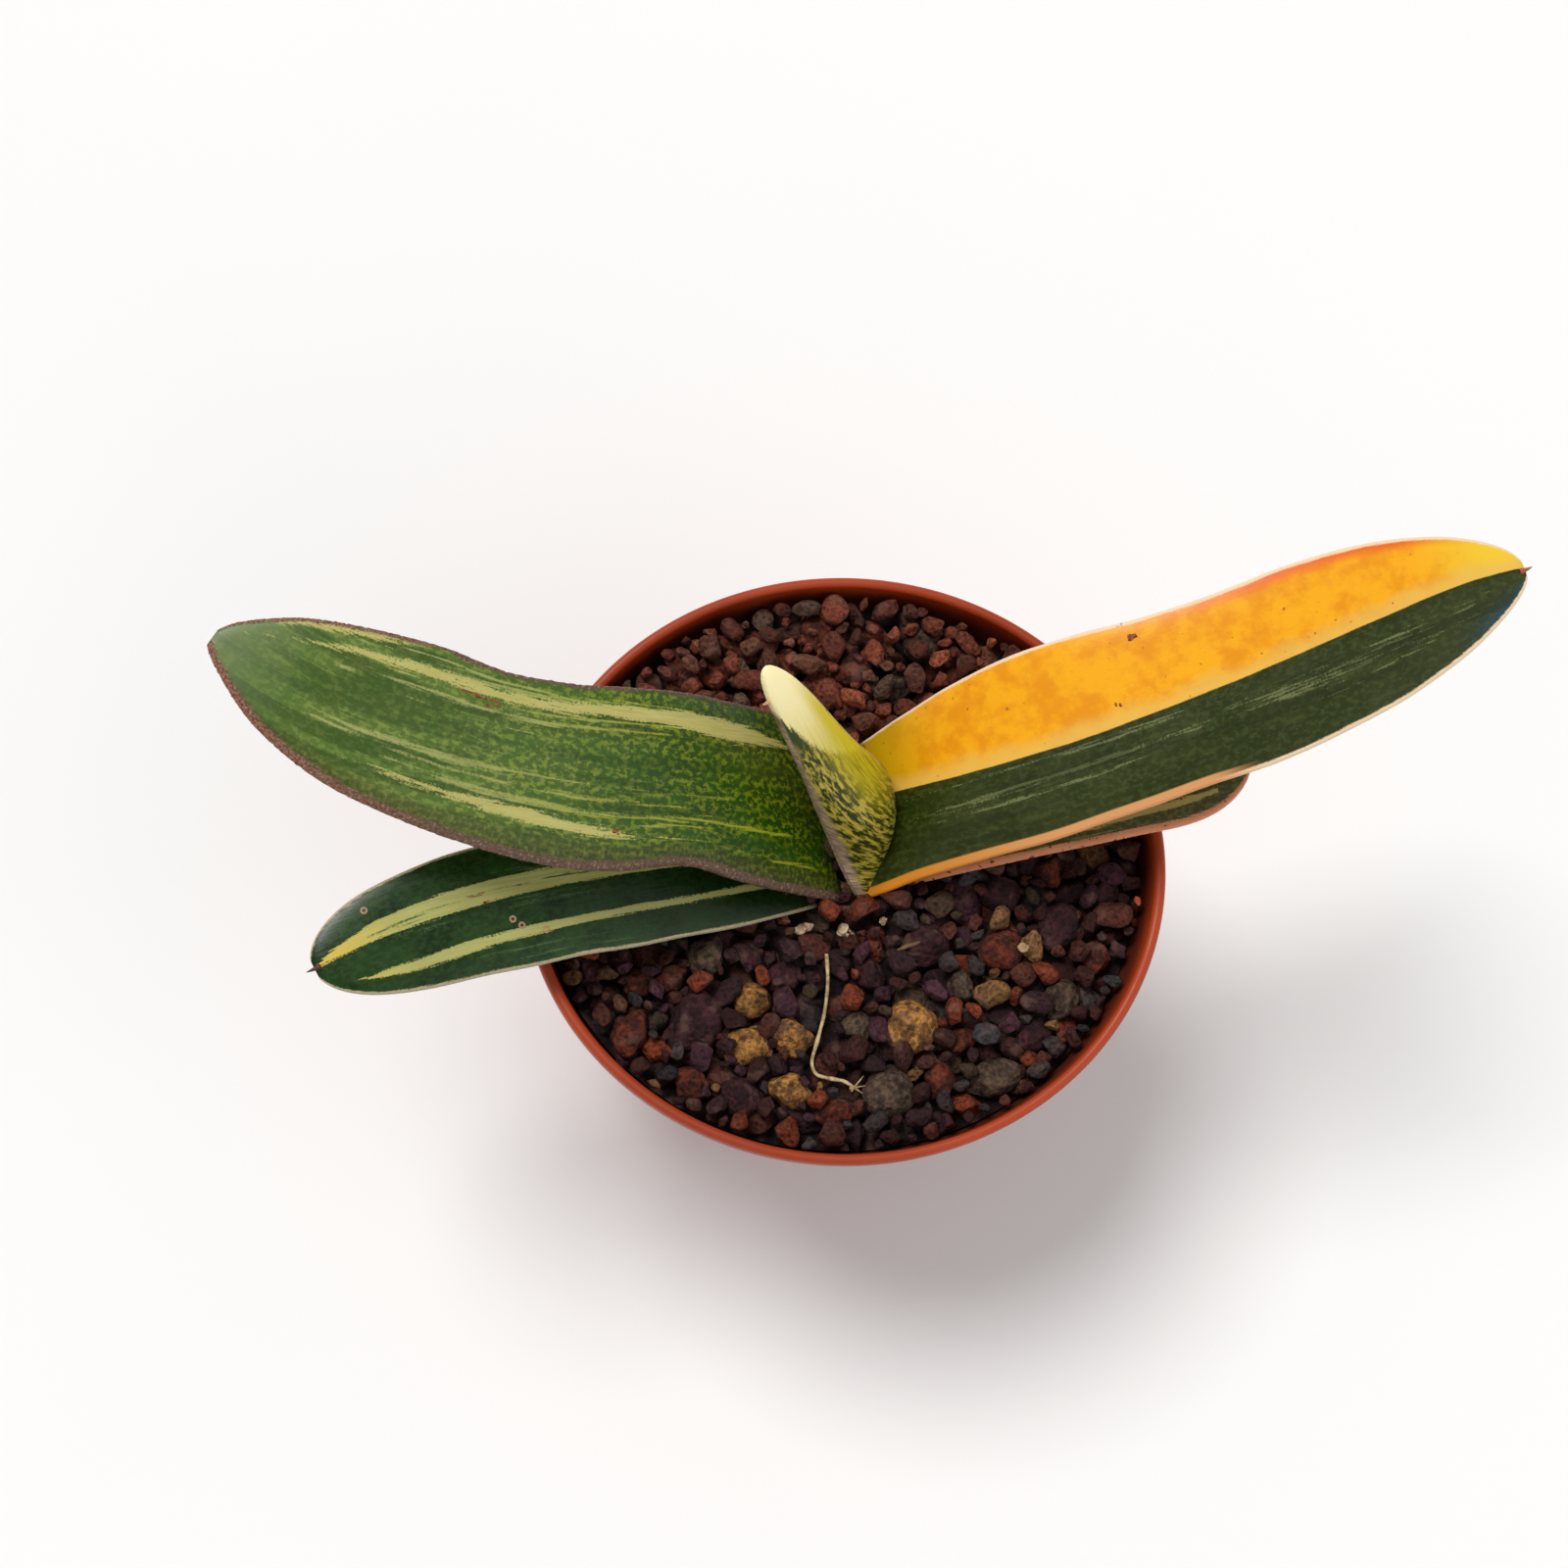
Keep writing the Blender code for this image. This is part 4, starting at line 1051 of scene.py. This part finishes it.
POT_TURNS = 256
POT_WALL = 1.0 * MM
POT_FLOOR = 1.4 * MM
FLOOR_ROUND = 1.5 * MM
RIM_BEAD = 1.8 * MM
RIM_DROP = 3.0 * MM
FOOT_ROUND = 2.0 * MM
WALL_STEPS = 11
POT_BASE_SHARE = 0.71             # base radius over rim radius
POT_UNEVEN = 0.0016               # how far the radius wanders, over the radius
DRAIN_HOLES = 8
DRAIN_RADIUS = 2.4 * MM
DRAIN_CIRCLE = 24 * MM


def arc(centre, radius, start, end, pieces):
    """Points on an arc in the (radius, height) plane; the angles are in degrees."""
    angles = [math.radians(start + (end - start) * i / pieces) for i in range(pieces + 1)]
    return [(centre[0] + radius * math.cos(a), centre[1] + radius * math.sin(a)) for a in angles]


def pot_profile(rim_radius, height):
    """Outline of the pot's wall from the inside floor over the rim to the underside."""
    bead = RIM_BEAD / 2
    inner_top = rim_radius - RIM_BEAD
    top_outer = inner_top + POT_WALL
    base_outer = rim_radius * POT_BASE_SHARE
    rim_low = height - RIM_DROP

    def wall(z):
        return base_outer + (top_outer - base_outer) * z / rim_low

    floor_corner = (wall(POT_FLOOR) - POT_WALL - FLOOR_ROUND, POT_FLOOR + FLOOR_ROUND)
    inside_heights = [POT_FLOOR + (rim_low - POT_FLOOR) * step / WALL_STEPS
                      for step in range(1, WALL_STEPS + 1)]
    outside_heights = [rim_low - (rim_low - FOOT_ROUND) * step / WALL_STEPS
                       for step in range(WALL_STEPS + 1)]
    return ([(0.0, POT_FLOOR)] + arc(floor_corner, FLOOR_ROUND, -90, 0, 6)
            + [(wall(z) - POT_WALL, z) for z in inside_heights]
            + arc((inner_top + bead, height - bead), bead, 180, 0, 20)
            + arc((rim_radius - bead / 2, rim_low + bead / 2), bead / 2, 0, -90, 8)
            + [(wall(z), z) for z in outside_heights]
            + arc((wall(FOOT_ROUND) - FOOT_ROUND, FOOT_ROUND), FOOT_ROUND, 0, -90, 10)[1:]
            + [(0.0, 0.0)])


def pot_material():
    paint = Paint("pot_plastic", 0.45, Specular_IOR_Level=0.3)
    place = paint.place()
    cloud = paint.noise(place, 22, 3.0)
    grain = paint.noise(place, 900, 3.0, 0.6)
    scuff = paint.noise(place, (60, 60, 420), 5.0, 0.7)
    height = paint.add("ShaderNodeSeparateXYZ", 2, {"Vector": place})
    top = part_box("nursery_pot")[1].z
    shaded = (height.step(top - 1.6 * MM, top - 6 * MM)
              * paint.attribute("inner").step(0.4, 0.6))
    colour = paint.layers(
        cloud.step(0.35, 0.65).mix((168, 62, 26), (150, 54, 24)),
        (scuff.step(0.56, 0.72) * 0.35, (178, 96, 62)),
        (shaded, (96, 38, 22)))
    return paint.finish(colour, grain, 0.04 * MM, scuff.ramp(0.4, 0.7, 0.38, 0.6))


def pot_shell(squeeze_x, squeeze_y, profile):
    """Closed mesh of the turned wall, with 1 stored on the vertices that lie inside."""
    shape = bmesh.new()
    rows, inner_flags = [], []
    top_index = max(range(len(profile)), key=lambda i: profile[i][1])
    for angle in circle_angles(POT_TURNS):
        row = []
        for j, (radius, z) in enumerate(profile[1:-1], start=1):
            give = 1 + POT_UNEVEN * noise(on_circle(1.5, angle, z * 14))
            x, y = radius * math.cos(angle) * squeeze_x, radius * math.sin(angle) * squeeze_y
            row.append(shape.verts.new((x * give, y * give, z)))
            inner_flags.append(1.0 if j < top_index else 0.0)
        rows.append(row)
    poles = [shape.verts.new((0, 0, profile[end][1])) for end in (0, -1)]
    for row, after in zip(rows, rows[1:] + rows[:1]):
        for j in range(len(row) - 1):
            shape.faces.new((row[j], row[j + 1], after[j + 1], after[j]))
        shape.faces.new((poles[0], row[0], after[0]))
        shape.faces.new((row[-1], poles[1], after[-1]))
    bmesh.ops.recalc_face_normals(shape, faces=shape.faces)
    mesh = mesh_of(shape, "pot_form")
    store(mesh, "inner", inner_flags + [1.0, 0.0])
    return mesh


def drain_drills():
    shape = bmesh.new()
    for angle in circle_angles(DRAIN_HOLES):
        spot = Matrix.Translation(on_circle(DRAIN_CIRCLE, angle))
        bmesh.ops.create_cone(shape, cap_ends=True, segments=32, radius1=DRAIN_RADIUS,
                              radius2=DRAIN_RADIUS, depth=4 * POT_FLOOR, matrix=spot)
    return mesh_of(shape, "drills")


def make_pot():
    low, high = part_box("nursery_pot")
    half_x, half_y = (high.x - low.x) / 2, (high.y - low.y) / 2
    mean_radius = (half_x + half_y) / 2
    profile = pot_profile(mean_radius, high.z)
    blank = new_object("pot_blank", pot_shell(half_x / mean_radius, half_y / mean_radius, profile))
    drills = new_object("drills", drain_drills())
    cut = blank.modifiers.new("drain", "BOOLEAN")
    cut.operation = "DIFFERENCE"
    cut.object = drills
    bpy.context.view_layer.update()
    drilled = blank.evaluated_get(bpy.context.evaluated_depsgraph_get())
    mesh = bpy.data.meshes.new_from_object(drilled)
    for spent in (blank, drills):
        bpy.data.objects.remove(spent, do_unlink=True)
    new_piece("nursery_pot_form", mesh, pot_material(), "nursery_pot")
    mesh.set_sharp_from_angle(angle=math.radians(50))


# --- what the CAD model keeps ---

def dress_cad_nodes():
    """The fill and the buried roots keep their CAD form and get a finish of their own."""
    packed = rock_paint("packed_grit", ((40, 26, 26), (24, 18, 18)), (500, 3.0, 0.5, 0.4, 0.6))
    roots = dry_material("root_skin", (150, 128, 96), (96, 76, 52))
    for name, material in (("lava_fill", packed), ("stem_and_roots", roots)):
        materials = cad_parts[name].data.materials
        materials.clear()
        materials.append(material)


# --- stage ---

FLOOR_REACH = 25.0                # metres from the middle to a side, past what the camera sees
WORLD_FADE = (0.06, 0.40, 0.92, 0.38)   # heights between which it fades, and the light at each


def make_floor():
    sides = ((-1, -1), (1, -1), (1, 1), (-1, 1))
    corners = [(x * FLOOR_REACH, y * FLOOR_REACH, 0) for x, y in sides]
    mesh = new_mesh("floor", corners, [(0, 1, 2, 3)])
    paint = Paint("floor_paint", 0.9)
    shade = paint.noise(paint.place(), 6.0, 3.0)
    pale = shade.mix((0.86, 0.86, 0.86, 1.0), (0.89, 0.89, 0.89, 1.0))
    mesh.materials.append(paint.finish(pale))
    new_object("floor", mesh)


def add_sun(name, elevation, azimuth, strength, softness, colour):
    """Soft light from a direction in degrees; softness is the angle the source fills."""
    light = bpy.data.lights.new(name, "SUN")
    light.angle = math.radians(softness)
    light.energy = strength
    light.color = colour
    level = on_circle(math.cos(math.radians(elevation)), math.radians(90 - azimuth))
    towards = level + Vector((0, 0, math.sin(math.radians(elevation))))
    new_object(name, light).rotation_euler = towards.to_track_quat("Z", "Y").to_euler()


def make_lights():
    add_sun("key", 62, -38, 2.2, 24, (1.0, 0.99, 0.97))
    add_sun("fill", 40, 130, 0.55, 60, (1.0, 1.0, 1.0))
    world = bpy.data.worlds.new("studio")
    bpy.context.scene.world = world
    world.use_nodes = True
    tree = world.node_tree
    place = tree.nodes.new("ShaderNodeTexCoord")
    parts = tree.nodes.new("ShaderNodeSeparateXYZ")
    fade = tree.nodes.new("ShaderNodeMapRange")
    fade.interpolation_type = "SMOOTHSTEP"
    for socket, value in zip(fade.inputs[1:5], WORLD_FADE):
        socket.default_value = value
    tree.links.new(place.outputs["Generated"], parts.inputs[0])
    tree.links.new(parts.outputs["Z"], fade.inputs[0])
    background = tree.nodes["Background"]
    tree.links.new(fade.outputs[0], background.inputs["Strength"])
    background.inputs["Color"].default_value = (1.0, 1.0, 1.0, 1.0)
    bpy.context.scene.view_settings.view_transform = "Standard"


def make_camera():
    elevation, azimuth = math.radians(CAMERA_ELEVATION), math.radians(CAMERA_AZIMUTH)
    outward = Vector((math.sin(azimuth) * math.cos(elevation),
                      -math.cos(azimuth) * math.cos(elevation), math.sin(elevation)))
    data = bpy.data.cameras.new("camera")
    data.sensor_fit = "HORIZONTAL"
    data.angle = math.radians(CAMERA_FIELD)
    data.clip_start = 0.01
    camera = new_object("camera", data)
    level = outward.to_track_quat("Z", "Y").to_matrix().to_4x4()
    camera.matrix_world = (Matrix.Translation(CAMERA_AIM + outward * CAMERA_DISTANCE) @ level
                           @ Matrix.Rotation(math.radians(CAMERA_ROLL), 4, "Z"))
    bpy.context.scene.camera = camera


def joined_tree(pieces):
    """One search tree over the surfaces of several pieces."""
    shape = bmesh.new()
    for piece in pieces:
        shape.from_mesh(piece.data)
    tree = BVHTree.FromBMesh(shape)
    shape.free()
    return tree


def main():
    make_camera()
    leaves = make_leaves()
    make_leaf_points()
    make_ring_scars()
    make_dry_marks()
    stones = make_stones()
    make_grit(joined_tree(leaves), stones, paths_to_clear())
    make_strand(dry_material("dry_fibre_paint", (206, 184, 138), (150, 124, 84)))
    make_scraps(dry_material("dry_scrap_paint", (206, 182, 148), (132, 98, 68)))
    make_bits()
    make_pot()
    dress_cad_nodes()
    make_floor()
    make_lights()


main()
